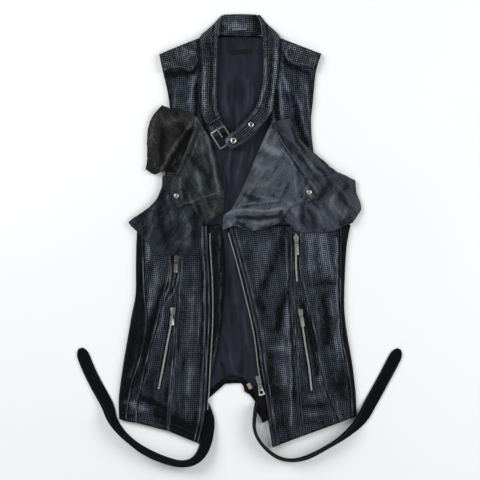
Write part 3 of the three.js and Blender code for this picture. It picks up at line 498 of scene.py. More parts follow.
# %% Creases of the fronts
BODY = [
    # The wearer's right front, below the chest seam
    (-1.8, 5.0, 0.3, [(166, 283), (160, 296), (155, 312), (151, 334), (147, 352), (141, 368), (133, 383)]),
    (1.5, 4.0, -0.2, [(158, 262), (157, 282), (153, 298), (148, 318), (145, 338)]),
    (1.1, 3.0, 0.0, [(149, 240), (149, 252), (147, 266)]),
    (0.9, 3.0, 0.2, [(152, 282), (149, 300), (146, 316)]),
    (-0.9, 3.5, 0.0, [(153, 252), (152, 270), (147, 286), (144, 300)]),
    (1.2, 3.0, 0.2, [(149, 332), (145, 353), (137, 373), (130, 389)]),
    (-1.2, 3.0, 0.0, [(142, 250), (141, 280), (140, 300)]),
    (1.0, 2.6, 0.0, [(171, 257), (171, 274), (169, 288), (160, 304), (156, 320), (154, 340)]),
    (0.9, 2.2, 0.0, [(178, 262), (178, 278), (174, 289), (167, 301), (163, 309), (161, 324), (159, 338)]),
    (-0.9, 2.2, 0.0, [(175, 262), (175, 276), (171, 288), (164, 300)]),
    (0.9, 2.4, 0.0, [(183, 262), (182, 280), (180, 294), (180, 312)]),
    (1.0, 3.0, 0.2, [(193, 262), (193, 290), (192, 318), (190, 338)]),
    (-0.8, 4.0, 0.0, [(187, 286), (186, 306), (184, 330)]),
    (0.8, 3.0, 0.0, [(198, 300), (199, 330), (196, 362)]),
    (0.7, 2.6, 0.0, [(176, 330), (176, 350), (174, 372)]),
    (-0.9, 3.0, 0.0, [(186, 340), (184, 362), (182, 384)]),
    (1.0, 3.6, -0.2, [(192, 350), (190, 372), (188, 396)]),
    (0.8, 2.0, 0.0, [(160, 336), (152, 346), (151, 360), (147, 376), (140, 394)]),
    (-1.5, 4.0, 0.2, [(138, 398), (150, 404), (160, 406), (168, 411)]),
    (1.4, 5.0, 0.1, [(124, 402), (134, 405), (146, 409), (154, 410)]),
    (-1.3, 3.6, 0.0, [(122, 415), (134, 416), (146, 414)]),
    (0.9, 2.2, 0.0, [(154, 412), (161, 415), (167, 418)]),
    (-0.9, 2.4, 0.0, [(150, 421), (160, 422), (168, 427)]),
    (-1.2, 4.0, 0.0, [(132, 330), (131, 352), (128, 376)]),
    (0.8, 2.6, 0.0, [(137, 346), (134, 364), (128, 384)]),
    (-0.8, 2.4, 0.0, [(178, 404), (176, 416), (178, 428)]),
    (0.8, 2.4, 0.0, [(186, 400), (186, 416), (188, 430)]),
    (-1.0, 3.0, 0.0, [(197, 398), (196, 416), (198, 434)]),
    # The wearer's left front, below the chest seam
    (-1.5, 7.0, 0.2, [(286, 238), (278, 258), (268, 278), (259, 298), (256, 314)]),
    (1.3, 8.0, 0.0, [(270, 240), (266, 262), (258, 284), (252, 300)]),
    (-1.9, 5.0, 0.3, [(289, 292), (284, 306), (278, 324), (275, 344)]),
    (1.4, 4.0, -0.2, [(292, 300), (287, 328), (289, 351), (290, 388)]),
    (1.3, 5.0, 0.0, [(262, 310), (263, 328), (266, 350)]),
    (-1.5, 6.0, 0.0, [(269, 346), (272, 366), (270, 388)]),
    (1.3, 5.0, 0.0, [(280, 344), (286, 360), (284, 384)]),
    (-1.0, 3.0, 0.0, [(262, 384), (275, 389), (290, 387)]),
    (1.1, 4.0, 0.2, [(262, 396), (270, 410), (272, 430)]),
    (0.8, 2.6, 0.0, [(281, 391), (283, 404), (283, 418)]),
    (0.9, 2.4, 0.0, [(291, 388), (291, 408), (290, 424)]),
    (0.9, 2.2, 0.0, [(297, 334), (298, 356), (297, 374), (299, 390), (297, 404)]),
    (1.1, 2.6, 0.0, [(310, 238), (309, 258), (311, 276), (314, 290)]),
    (1.1, 2.8, 0.0, [(321, 232), (322, 248), (325, 266)]),
    (-0.9, 3.2, 0.0, [(315, 240), (316, 258), (319, 276)]),
    (0.8, 2.4, 0.0, [(328, 240), (330, 262), (333, 280)]),
    (-1.2, 4.0, 0.1, [(306, 286), (316, 285), (328, 283), (338, 284)]),
    (-1.8, 6.5, 0.0, [(323, 290), (326, 312), (328, 346)]),
    (1.2, 4.5, 0.0, [(331, 292), (334, 326), (339, 360)]),
    (1.1, 3.0, 0.2, [(316, 300), (318, 320), (319, 344)]),
    (-1.0, 3.0, 0.0, [(312, 322), (316, 346), (320, 366)]),
    (1.0, 2.4, 0.0, [(318, 364), (322, 378), (327, 396)]),
    (1.0, 3.2, 0.0, [(328, 346), (333, 365), (337, 384)]),
    (-1.2, 4.0, 0.0, [(341, 360), (345, 378), (350, 396)]),
    (1.2, 3.0, 0.2, [(334, 392), (337, 406), (341, 422)]),
    (-1.4, 3.6, 0.1, [(302, 407), (314, 407), (328, 404)]),
    (1.2, 4.0, 0.0, [(300, 413), (316, 414), (330, 411)]),
    (-0.9, 3.0, 0.0, [(304, 420), (314, 423), (326, 422)]),
    (-0.8, 2.0, 0.0, [(328, 387), (334, 385), (340, 386)]),
    (0.9, 3.0, 0.0, [(344, 300), (345, 330), (349, 356)]),
    (-1.0, 3.0, 0.0, [(340, 250), (339, 280), (340, 300)]),
    # The wearer's right front, above the chest seam
    (1.5, 2.6, 0.2, [(196, 70), (194, 84), (191, 98), (190, 114)]),
    (-1.6, 2.6, 0.0, [(199, 74), (197, 92), (196, 112)]),
    (0.8, 3.0, 0.0, [(176, 84), (175, 100), (174, 116)]),
    (-0.8, 3.6, 0.0, [(184, 80), (182, 96), (181, 112)]),
    (-1.4, 4.0, 0.0, [(165, 73), (175, 74), (186, 72)]),
    # The wearer's left front, above the chest seam
    (1.4, 2.8, 0.2, [(281, 60), (284, 76), (289, 96), (292, 118)]),
    (-1.7, 2.8, 0.0, [(277, 96), (277, 108), (277, 118)]),
    (1.0, 2.2, 0.0, [(280, 84), (281, 98), (282, 116)]),
    (-1.4, 3.0, 0.2, [(289, 90), (296, 112), (300, 132), (306, 150)]),
    (1.2, 3.0, 0.0, [(293, 86), (301, 110), (306, 130), (312, 150)]),
    (0.9, 2.6, 0.0, [(308, 76), (311, 100), (313, 126)]),
    (-0.9, 2.6, 0.0, [(304, 80), (306, 104), (309, 128)]),
    (-0.8, 2.2, 0.0, [(316, 70), (316, 92), (317, 116)]),
]
# Pressed and rubbed places, and painted highlights and painted shadows of the folds and flaps: how much
# lighter (or darker), the reach in millimetres, and the line
RUBS_AND_SHADING = [
    # The wearer's right front
    (0.35, 7, [(148, 242), (148, 256)]), (0.2, 12, [(156, 262), (154, 285), (152, 305)]),
    (-0.6, 8, [(166, 284), (159, 302), (153, 324), (147, 345)]),
    (-0.45, 6, [(147, 345), (141, 364), (132, 384), (128, 398)]),
    (-0.3, 9, [(146, 362), (140, 380), (134, 392)]), (0.2, 11, [(190, 368), (187, 392)]),
    (0.2, 9, [(188, 290), (190, 320), (186, 345)]), (0.4, 9, [(127, 403), (142, 409)]),
    (-1.8, 22, [(178, 430), (198, 442)]), (-1.1, 9, [(158, 414), (172, 422)]),
    (-0.6, 5, [(140, 397), (157, 404), (170, 412)]),
    (-0.35, 6, [(182, 296), (180, 330), (178, 350)]), (-0.25, 10, [(150, 320), (146, 345)]),
    (0.3, 6, [(171, 262), (170, 284), (162, 300)]), (-0.4, 5, [(174, 256), (174, 276), (170, 290)]),
    (-0.3, 7, [(152, 372), (150, 396)]), (-0.25, 6, [(166, 392), (164, 402)]),
    # The wearer's left front
    (-0.3, 11, [(284, 234), (275, 258), (264, 285), (259, 304)]), (0.15, 14, [(260, 244), (255, 272)]),
    (-0.5, 6, [(286, 290), (281, 306), (277, 328)]), (0.35, 7, [(287, 308), (285, 330), (284, 346)]),
    (0.4, 6, [(272, 348), (286, 350)]), (-0.25, 8, [(268, 356), (270, 378)]),
    (0.3, 9, [(282, 366), (284, 386)]),
    (-0.4, 8, [(264, 388), (282, 392)]), (-0.4, 14, [(270, 392), (274, 426)]),
    (-0.3, 10, [(296, 392), (300, 424)]),
    (-0.25, 12, [(282, 300), (276, 330)]), (-0.3, 12, [(330, 360), (338, 400)]),
    (-0.2, 16, [(150, 380), (152, 404)]), (0.3, 7, [(272, 403), (274, 425)]),
    (-0.35, 5, [(281, 400), (283, 424)]),
    (-0.85, 4.5, [(303, 306), (309, 328), (314, 352), (318, 374)]), (0.4, 12, [(310, 240), (312, 268)]),
    (0.45, 12, [(322, 238), (326, 272)]), (-0.4, 11, [(325, 296), (328, 320), (327, 342)]),
    (0.35, 6, [(336, 240), (338, 300), (341, 345)]), (0.25, 9, [(318, 355), (324, 378)]),
    (-0.4, 7, [(340, 372), (345, 398)]), (0.35, 5, [(333, 352), (340, 372), (349, 392)]),
    (-0.25, 5, [(301, 407), (327, 403)]), (0.3, 7, [(310, 397), (322, 395)]),
    (-0.1, 8, [(318, 282), (334, 284)]),
    (-0.3, 6, [(264, 308), (262, 330)]), (0.35, 4, [(297, 342), (297, 372)]),
    # Edges of the seams, painted bright partly as rubbing and partly as painted highlight, with dark lines
    # beside them as painted shade
    (0.6, 1.7, [(171, 258), (171, 280), (165, 298), (161, 311), (160, 325), (156, 335), (151, 346),
        (149, 360), (146, 375), (139, 393)]),
    (0.5, 1.6, [(178, 262), (178, 280), (172, 295), (166, 303), (163, 312), (162, 325)]),
    (0.4, 1.6, [(182, 262), (180, 280), (179, 300), (178, 320)]),
    (-0.5, 2, [(175, 258), (175, 282), (168, 297), (164, 306)]),
    (0.5, 1.6, [(204.5, 258), (205, 300), (205, 345), (203, 380)]),
    (-0.6, 1.9, [(202, 258), (202, 300), (202, 345), (200, 380)]),
    (-0.7, 1.7, [(207, 258), (207.5, 320), (206, 372)]),
    (0.5, 1.8, [(287, 238), (287, 300), (289, 340), (291, 390), (291, 426)]),
    (-0.6, 1.7, [(289.5, 240), (289.5, 300), (292.5, 345), (294, 400)]),
    (0.6, 1.7, [(299, 264), (303, 285), (306, 300), (311, 318), (315, 335), (317, 350), (321, 385),
        (326, 395)]),
    (0.45, 1.8, [(337, 238), (338, 300), (341, 345), (348, 374)]),
    (-0.5, 2, [(340, 240), (341, 300), (345, 345)]),
    (0.6, 1.5, [(237, 250), (247, 300), (254, 340), (259, 366)]),
    (0.5, 1.7, [(243, 268), (250, 300), (257, 332), (262, 362)]),
    (-0.6, 1.7, [(240, 256), (248, 298), (256, 338), (261, 366)]),
    # Above the chest seams
    (0.4, 5, [(193, 78), (191, 95), (190, 112)]), (-0.95, 4, [(197, 84), (196, 112)]),
    (-0.95, 6, [(165, 75), (180, 74), (192, 72)]), (-0.3, 5, [(170, 84), (170, 106)]),
    (0.15, 9, [(180, 88), (180, 104)]),
    (-0.95, 4, [(277, 92), (277, 118)]), (0.45, 4, [(281, 72), (281, 98), (283, 118)]),
    (0.4, 4, [(285, 78), (291, 98), (296, 114)]), (-0.7, 7, [(289, 96), (297, 116), (306, 146)]),
    (0.3, 8, [(302, 80), (304, 108)]), (-0.6, 3, [(309, 74), (311, 110)]),
    (0.4, 3, [(306, 84), (310, 118), (311, 138)]),
    (-0.7, 3, [(284, 62), (290, 66), (308, 72)]),
]
print("creases of the fronts:", len(BODY), "rubbed places:", len(RUBS_AND_SHADING))

# %% Creases of flaps, lapels, lining and collar
FLAPS = [
    # On the two flaps of the wearer's right side
    (2.0, 4.5, 0.25, [(197, 117), (184, 134), (172, 151), (165, 164), (161, 172)]),
    (-1.8, 6.0, 0.0, [(191, 130), (180, 150), (171, 168), (166, 180)]),
    (-1.2, 4.0, 0.0, [(165, 128), (162, 144), (161, 166)]),
    (0.9, 4.0, 0.0, [(155, 118), (151, 134), (150, 150)]),
    (0.7, 2.6, 0.0, [(170, 118), (176, 121), (184, 120)]),
    (0.8, 3.0, 0.0, [(152, 152), (156, 160), (153, 168)]),
    (1.3, 4.0, 0.2, [(166, 186), (168, 200), (172, 214), (176, 226)]),
    (-1.3, 5.0, 0.0, [(163, 196), (161, 212), (164, 232), (168, 248)]),
    (1.0, 4.0, 0.0, [(154, 206), (150, 216), (152, 228)]),
    (-0.9, 4.0, 0.0, [(144, 212), (142, 222), (148, 236)]),
    (1.2, 6.0, 0.0, [(184, 212), (188, 226), (186, 242)]),
    (-0.9, 3.4, 0.0, [(196, 214), (196, 228), (193, 244)]),
    (0.9, 2.6, 0.2, [(172, 244), (182, 242), (192, 246)]),
    (-0.7, 2.6, 0.0, [(164, 248), (176, 249), (188, 251)]),
    # On the flap of the wearer's left side
    (1.3, 4.0, 0.2, [(288, 130), (298, 148), (310, 164), (324, 180)]),
    (-1.5, 5.0, 0.0, [(282, 126), (292, 146), (306, 166), (320, 184)]),
    (-1.4, 4.0, 0.0, [(292, 126), (298, 140), (307, 152)]),
    (0.9, 3.4, 0.0, [(312, 154), (322, 166), (332, 178)]),
    (-1.1, 5.0, 0.0, [(332, 180), (324, 190), (320, 200), (314, 206)]),
    (1.2, 5.0, 0.0, [(340, 190), (332, 200), (330, 212)]),
    (-0.9, 4.0, 0.0, [(347, 184), (344, 196), (348, 208)]),
    (0.9, 3.0, 0.0, [(352, 200), (346, 210), (342, 222)]),
    (-1.3, 3.4, 0.2, [(303, 204), (302, 214), (304, 226)]),
    (-1.1, 3.4, 0.0, [(308, 210), (313, 220), (316, 230)]),
    (1.1, 3.6, 0.0, [(297, 206), (297, 218), (299, 230)]),
    (1.0, 3.0, 0.0, [(310, 204), (318, 214), (324, 228)]),
    (-0.9, 3.0, 0.0, [(322, 206), (328, 216), (332, 228)]),
    (0.8, 2.2, 0.0, [(292, 214), (296, 222), (300, 228)]),
]
LAPELS = [
    # The wearer's right lapel
    (1.4, 2.4, 0.2, [(198, 120), (191, 142), (182, 163), (172, 182)]),
    (-1.3, 2.0, 0.0, [(200, 124), (193, 146), (185, 163), (176, 180)]),
    (1.0, 1.8, 0.0, [(201, 128), (196, 146), (188, 164), (179, 182)]),
    (1.6, 3.4, 0.2, [(204, 127), (210, 148), (214, 170), (218, 190), (219, 200)]),
    (-1.3, 4.0, 0.0, [(203, 134), (207, 152), (210, 170), (210, 188)]),
    (-1.2, 5.0, 0.0, [(190, 156), (197, 165), (205, 174), (208, 188)]),
    (1.2, 6.0, 0.0, [(196, 172), (200, 184), (200, 194)]),
    (-1.2, 4.0, 0.0, [(188, 174), (188, 188), (184, 202)]),
    (0.9, 3.0, 0.0, [(181, 178), (181, 190), (182, 202)]),
    (0.8, 2.4, 0.0, [(173, 184), (173, 196), (178, 206)]),
    (1.3, 2.0, 0.2, [(177, 208), (186, 205), (196, 199.5), (206, 196.5), (220, 193)]),
    (-1.2, 1.6, 0.0, [(180, 210), (190, 207), (200, 202), (212, 199.5), (223, 197)]),
    (1.1, 4.0, 0.0, [(214, 202), (215, 210), (211, 218)]),
    (-1.2, 3.6, 0.0, [(199, 206), (201, 214), (206, 220)]),
    # The wearer's left lapel
    (1.2, 1.9, 0.2, [(275, 128), (289, 151), (304, 171), (318, 189)]),
    (-1.6, 2.4, 0.0, [(272, 126), (284, 147), (298, 168), (314, 190)]),
    (1.2, 1.9, 0.0, [(281, 148), (291, 163), (302, 178), (313, 195)]),
    (1.2, 3.0, 0.0, [(266, 128), (256, 152), (245, 178), (234, 202)]),
    (-0.5, 5.0, 0.0, [(255, 154), (264, 156), (276, 160)]),
    (1.1, 7.0, 0.0, [(264, 146), (272, 150), (280, 154)]),
    (0.9, 4.0, 0.0, [(252, 162), (262, 168), (274, 168)]),
    (-0.45, 4.0, 0.0, [(250, 174), (262, 178), (274, 175)]),
    (0.8, 4.0, 0.0, [(247, 184), (258, 187), (270, 184)]),
    (-0.5, 3.0, 0.0, [(278, 182), (284, 180), (289, 184)]),
    (0.8, 2.4, 0.0, [(276, 188), (283, 189), (289, 193)]),
    (-1.0, 2.2, 0.0, [(243, 193), (250, 199), (258, 201)]),
    (0.9, 2.2, 0.0, [(246, 190), (258, 196), (274, 198)]),
    (-0.7, 2.0, 0.0, [(258, 192), (268, 196), (282, 197)]),
    (1.3, 1.7, 0.0, [(236, 206.5), (250, 203.5), (270, 201.5), (286, 199)]),
    (-0.9, 1.5, 0.0, [(238, 208.5), (252, 206), (270, 204), (285, 202.5)]),
    (2.2, 2.6, 0.3, [(225, 214), (236, 211), (250, 210.5), (268, 211), (284, 209)]),
    (-2.0, 3.4, 0.0, [(236, 216.5), (250, 218), (268, 217.5), (283, 214.5)]),
    (-1.8, 2.6, 0.0, [(239, 223), (245, 227), (252, 231)]),
    (1.2, 4.0, 0.0, [(229, 220), (231, 228)]),
    (1.0, 4.0, 0.0, [(250, 222), (264, 223), (278, 219)]),
    (-1.1, 2.4, 0.0, [(297, 172), (300, 186), (302, 198)]),
    (1.0, 2.4, 0.2, [(293, 168), (295, 184), (298, 199)]),
    (0.9, 2.4, 0.0, [(303, 182), (306, 190), (312, 198)]),
    (-1.0, 2.2, 0.0, [(290, 196), (295, 201), (299, 206)]),
    (0.9, 2.0, 0.0, [(286, 203), (291, 206), (293, 211)]),
]
# Painted highlights and painted shadows of the folds of flaps and lapels, with some rubbing: how much lighter
# (or darker), the reach in millimetres, and the line
RUBS_AND_SHADING_ABOVE = [
    # Flaps of the wearer's right side
    (0.4, 5, [(196, 118), (182, 137), (170, 153), (163, 168)]),
    (-0.6, 7, [(190, 131), (178, 152), (168, 174)]),
    (-0.4, 6, [(164, 130), (161, 165)]), (0.25, 10, [(156, 118), (152, 140)]),
    (0.25, 8, [(182, 114), (168, 124)]),
    (0.3, 14, [(184, 216), (188, 238)]), (-0.4, 8, [(166, 192), (160, 212), (166, 240)]),
    (-0.3, 8, [(148, 210), (140, 221)]),
    (0.25, 8, [(152, 226), (148, 238)]), (-0.3, 8, [(196, 212), (196, 240)]),
    # The wearer's right lapel
    (0.4, 3.5, [(204, 127), (211, 150), (214, 172), (218, 190)]), (0.25, 8, [(201, 134), (204, 152)]),
    (-0.45, 7, [(190, 156), (198, 166), (208, 176)]), (0.35, 7, [(197, 174), (200, 188)]),
    (-0.4, 5, [(209, 176), (211, 190)]), (-0.4, 5, [(186, 180), (184, 202)]),
    (0.2, 7, [(214, 204), (215, 212)]),
    (-0.5, 4, [(199, 206), (200, 216)]), (-0.5, 4, [(214, 142), (219, 165), (223, 186)]),
    # The flap and lapel of the wearer's left side
    (-0.45, 7, [(308, 150), (322, 170), (331, 185)]), (-0.35, 8, [(328, 186), (320, 196), (314, 204)]),
    (-0.4, 5, [(303, 205), (302, 222)]), (-0.35, 5, [(308, 212), (316, 229)]),
    (0.3, 11, [(330, 203), (345, 212)]),
    (0.25, 9, [(322, 214), (330, 226)]), (-0.35, 8, [(346, 184), (341, 197)]),
    (-0.9, 7, [(344, 224), (352, 226)]),
    (0.3, 6, [(300, 142), (312, 156), (322, 166)]), (-0.5, 4, [(291, 125), (297, 140), (305, 152)]),
    (0.8, 2.2, [(266, 127), (252, 158), (240, 186), (232, 206)]), (0.3, 8, [(267, 130), (265, 142)]),
    (0.55, 8, [(264, 146), (278, 154)]), (-0.15, 5, [(254, 152), (266, 157)]),
    (-0.75, 4, [(274, 126), (286, 146), (291, 154)]),
    (-0.6, 4, [(298, 172), (306, 183), (315, 194)]), (0.3, 12, [(256, 166), (262, 182)]),
    (-0.12, 7, [(276, 164), (284, 172)]),
    (-0.35, 5, [(244, 194), (258, 199)]), (0.5, 3, [(225, 214), (240, 211), (262, 211), (284, 209)]),
    (-0.95, 3, [(237, 216.5), (258, 218), (283, 215)]), (-0.95, 3, [(240, 224), (252, 231)]),
    (-1.0, 4, [(281, 213), (283, 222)]), (-0.5, 4, [(260, 229), (272, 225)]),
    (0.3, 6, [(289, 204), (297, 214)]),
    (-0.5, 5, [(228, 232), (236, 231)]), (-0.3, 6, [(300, 196), (311, 200)]),
]
# Puckered seams: the rise and the pitch of the puckers, their reach, and the seam
PUCKERS = [
    (0.5, 5.6, 5.5, [(176, 334), (173, 356), (171, 378), (170, 402)]),
    (0.35, 6.0, 4.0, [(203, 300), (203, 340), (202, 384)]),
    (0.45, 6.4, 4.5, [(250, 286), (256, 318), (261, 350), (264, 388)]),
    (0.35, 5.2, 4.0, [(291, 380), (291, 426)]),
    (0.4, 6.0, 6.0, [(300, 430), (326, 418), (342, 414)]),
    (0.35, 6.0, 5.0, [(124, 412), (148, 414), (164, 422)]),
]
# Painted highlights and painted shadows along the placket facing, the collar bands and the stand, with some
# rubbing: how much lighter (or darker), the reach in millimetres, and the line
RUBS_AND_SHADING_STRIPS = [
    # The placket facing
    (0.6, 1.8, [(219, 236), (221, 280), (220, 320), (215, 350), (210, 378)]),
    (-0.4, 3, [(215, 236), (216, 300), (213, 350)]),
    (0.5, 1.7, [(225, 245), (226, 275), (224, 310), (220, 335), (213, 370)]),
    (-0.5, 3, [(222, 240), (223, 290), (220, 330)]),
    # The collar bands and the stand between them
    (0.35, 5, [(205, 72), (204, 95), (206, 112)]),
    (-0.6, 2.6, [(210.5, 45), (211, 75), (211, 105), (216, 120)]),
    (0.3, 3, [(215, 60), (214, 90), (216, 108)]),
    (-0.6, 2.6, [(200, 60), (199.5, 90), (200, 112), (208, 129)]),
    (-0.35, 7, [(206, 44), (204, 58)]), (0.35, 4, [(265, 60), (265, 85), (260, 105)]),
    (-0.55, 2.6, [(270, 55), (270, 90), (266, 106)]), (0.4, 4, [(276, 50), (275, 85), (271, 112)]),
    (-0.5, 5, [(263, 18), (266, 34)]), (0.3, 8, [(226, 24), (244, 27)]), (-0.95, 8, [(256, 17), (258, 30)]),
    (-0.9, 4, [(221, 17), (222, 31)]), (-0.5, 3, [(230, 33.5), (256, 33.5)]),
    (-0.4, 2.5, [(232, 146), (250, 136), (268, 122)]),
]
PUCKERS_ABOVE = [
    (0.6, 5.4, 3.6, [(240, 206.5), (256, 204.5), (272, 203.5), (288, 201)]),
    (0.45, 5.0, 3.6, [(182, 207), (196, 200), (208, 197), (222, 194)]),
    (0.35, 6.2, 3.0, [(196, 140), (188, 156), (178, 174)]),
    (0.4, 6.6, 3.0, [(280, 140), (292, 158), (306, 178)]),
]
LINING = [
    (1.4, 2.4, 0.2, [(236, 106), (237, 118), (237, 132)]),
    (-1.0, 2.6, 0.0, [(233, 104), (234, 118), (234, 132)]),
    (1.2, 3.0, 0.0, [(242, 76), (246, 82), (248, 96), (247, 112)]),
    (-0.9, 3.0, 0.0, [(239, 80), (242, 92), (243, 110)]),
    (0.9, 5.0, 0.0, [(226, 76), (225, 96), (228, 116)]),
    (-0.8, 3.0, 0.0, [(230, 84), (229, 100), (232, 116)]),
    (0.8, 3.0, 0.0, [(252, 84), (253, 98), (250, 110)]),
    (1.5, 2.6, 0.3, [(231, 146), (229, 162), (227, 186)]),
    (-1.4, 2.6, 0.0, [(234, 146), (232, 162), (231, 190)]),
    (1.3, 3.0, 0.0, [(242, 150), (240, 164), (236, 184)]),
    (-1.2, 2.4, 0.0, [(249, 144), (248, 158), (243, 172)]),
    (1.0, 2.4, 0.0, [(252, 144), (251, 154), (247, 166)]),
    (-0.8, 3.0, 0.0, [(223, 158), (225, 176), (228, 194)]),
    (1.0, 4.0, 0.0, [(232, 240), (234, 280), (238, 320)]),
    (-1.0, 4.0, 0.0, [(227, 250), (229, 290), (232, 330)]),
    (1.3, 3.0, 0.0, [(243, 310), (246, 334), (250, 356)]),
    (-1.2, 3.0, 0.0, [(222, 336), (226, 346), (228, 358)]),
    (-1.3, 3.0, 0.0, [(220, 360), (224, 370), (226, 378)]),
    (1.1, 3.0, 0.0, [(229, 350), (232, 364), (236, 376)]),
    (-1.1, 4.0, 0.0, [(247, 344), (244, 358), (240, 374)]),
]
BACK = [
    (0.8, 6.0, 0.0, [(180, 90), (196, 150), (188, 220)]),
    (0.7, 8.0, 0.0, [(280, 80), (276, 140), (292, 200)]),
    (0.9, 7.0, 0.0, [(160, 250), (170, 310), (150, 380)]),
    (0.8, 6.0, 0.0, [(210, 240), (222, 300), (214, 360)]),
    (0.9, 9.0, 0.0, [(300, 240), (310, 310), (330, 380)]),
    (0.7, 5.0, 0.0, [(250, 220), (256, 290), (248, 350)]),
    (0.6, 5.0, 0.0, [(190, 255), (240, 262), (300, 252)]),
]
print("creases of flaps and lapels:", len(FLAPS) + len(LAPELS), "lining:", len(LINING), "back:", len(BACK))

# %% [markdown]
# ## From a solid to a sheet
# A sheet starts as a copy of its CAD solid, a closed wall of leather. Its loose triangles are merged and
# joined to quads, its rim is creased, and a Subdivision Surface rounds it. Then the points move: creases
# and welts lift both faces together, so that the wall keeps its thickness, and the upper face dips at its
# seams. Near a turned-down edge, where the wall reaches the floor, the creases fade out.

# %% Points, lines and reliefs
def nearest_on(points, line):
    """For each point, its distance from a line, the side it is on, and how far along it is, 0 to 1."""
    away = np.full(len(points), np.inf)
    side = np.zeros(len(points))
    share = np.zeros(len(points))
    lengths = np.linalg.norm(np.diff(line, axis=0), axis=1)
    gone = np.concatenate([[0], np.cumsum(lengths)])
    for k, (a, b) in enumerate(zip(line[:-1], line[1:])):
        way = b - a
        t = np.clip(((points - a) @ way) / (way @ way), 0, 1)
        gap = points - a - t[:, None] * way
        distance = np.hypot(gap[:, 0], gap[:, 1])
        closer = distance < away
        away[closer] = distance[closer]
        side[closer] = np.sign(way[0] * gap[:, 1] - way[1] * gap[:, 0])[closer]
        share[closer] = ((gone[k] + t * lengths[k]) / gone[-1])[closer]
    return away, side, share


LATTICE_SIZE = 64
LATTICE = np.random.default_rng(7).uniform(-1, 1, (LATTICE_SIZE, LATTICE_SIZE))


def uneven(points, per_metre, seed=0):
    """A smooth field from -1 to 1 over flat points, the same in every run."""
    place = points[:, :2] * per_metre + 5.3 * seed + 100
    cell = np.floor(place).astype(int)
    t = place - cell
    t = t * t * (3 - 2 * t)
    corners = [(cell + corner) % LATTICE_SIZE for corner in ((0, 0), (1, 0), (0, 1), (1, 1))]
    near = [LATTICE[corner[:, 0], corner[:, 1]] for corner in corners]
    low = near[0] + (near[1] - near[0]) * t[:, 0]
    high = near[2] + (near[3] - near[2]) * t[:, 0]
    return low + (high - low) * t[:, 1]


def bell(distance, reach):
    """1 where the distance is 0, falling smoothly to about a third at the reach."""
    return np.exp(-((distance / reach) ** 2))


def eased(values, low, high):
    """0 below low, 1 above high and smooth between."""
    t = np.clip((values - low) / (high - low), 0, 1)
    return t * t * (3 - 2 * t)


def wavering(points, reach=1.4):
    """The points moved a little, so that a line laid over them wavers."""
    shifts = [uneven(points, 60, seed) + 0.5 * uneven(points, 150, seed + 2) for seed in (1, 4)]
    return points[:, :2] + reach * MM * np.stack(shifts, axis=1)


def fine_folds(points, degrees):
    """Small sharp folds along a heading, from about -1 to 1."""
    angle = math.radians(degrees)
    across = points[:, 0] * math.cos(angle) + points[:, 1] * math.sin(angle)
    along = points[:, 1] * math.cos(angle) - points[:, 0] * math.sin(angle)
    flat = np.stack([across, along * 0.24], axis=1)
    wide = 1 - 2.6 * np.abs(uneven(flat, 75, 9))
    narrow = 1 - 2.6 * np.abs(uneven(flat, 170, 5))
    return 0.6 * wide + 0.4 * narrow


def lines_near(points, table):
    """The rows of a table whose last column is a line that comes within 20 mm, with that line smoothed."""
    low, high = points.min(axis=0) - 20 * MM, points.max(axis=0) + 20 * MM
    for *row, spots in table:
        line = smooth_line(squares(spots), 5 * MM)
        if (line.max(axis=0) > low).all() and (line.min(axis=0) < high).all():
            yield *row, line


def relief(points, creases):
    """The height of all creases at flat points, in metres, and how much is ridge or trough."""
    height = np.zeros(len(points))
    ridge = np.zeros(len(points))
    wavered = wavering(points)
    strength = 1.3 + 0.55 * uneven(points, 75, 6)
    for rise, wide, lean, line in lines_near(points, creases):
        away, side, share = nearest_on(wavered, line)
        ends = np.clip(4 * share * (1 - share), 0, 1) ** 0.4
        shape = bell(away, wide * MM * (1 + lean * side)) * ends * strength
        height += rise * MM * shape
        ridge += np.sign(rise) * shape * min(1.0, abs(rise) / 1.2)
    return height, ridge


def rubs_and_shading(points, places):
    """How much lighter or darker the listed places are painted, partly as rubbing and partly as painted
    highlight and shade.
    """
    tone = np.zeros(len(points))
    wavered = wavering(points, 2.0)
    for change, reach, line in lines_near(points, places):
        tone += change * bell(nearest_on(wavered, line)[0], reach * MM)
    return np.where(tone < 0, 0.75 * tone, tone)


def puckers(points, seams):
    """The height of the small waves that a tight seam draws across itself."""
    height = np.zeros(len(points))
    for rise, pitch, reach, line in lines_near(points, seams):
        away, _, share = nearest_on(points, line)
        run = share * len(line) * 5 / pitch * math.tau + 1.8 * uneven(points, 90, 3)
        height += rise * MM * np.sin(run) * bell(away, reach * MM)
    return height


# Welts beside the seams: a line, how far beside it, the rise and the width, in millimetres
WELTS = []
for hand, turn in HANDS:
    for line_name, shift, rise, wide in [
        ("pocket_inner", 2.6, 0.9, 1.6), ("pocket_inner", -2.6, 0.8, 1.6), ("pocket_inner", -6.5, -0.6, 2.2),
        ("pocket_outer", -2.6, 1.1, 1.6), ("pocket_outer", 2.6, 0.5, 1.6), ("pocket_outer", 6.0, -0.6, 2.0),
        ("side_seam", -2.6, 0.8, 1.6), ("side_seam", 2.6, 0.5, 1.6),
        ("front_edge", -3.0, 0.7, 1.6), ("front_edge", -7.5, -1.1, 1.7), ("front_edge", -12.5, 1.2, 1.9),
        ("front_edge", -17.5, -0.8, 2.0),
    ]:
        WELTS.append((beside(SEAMS[hand, line_name], shift * turn), rise, wide))


def welts(points):
    height = np.zeros(len(points))
    for line, rise, wide in WELTS:
        low, high = line.min(axis=0) - 10 * MM, line.max(axis=0) + 10 * MM
        near = ((points > low) & (points < high)).all(axis=1)
        if near.any():
            height[near] += rise * MM * bell(nearest_on(points[near], line[::2])[0], wide * MM)
    return height


print("welts beside the seams:", len(WELTS))


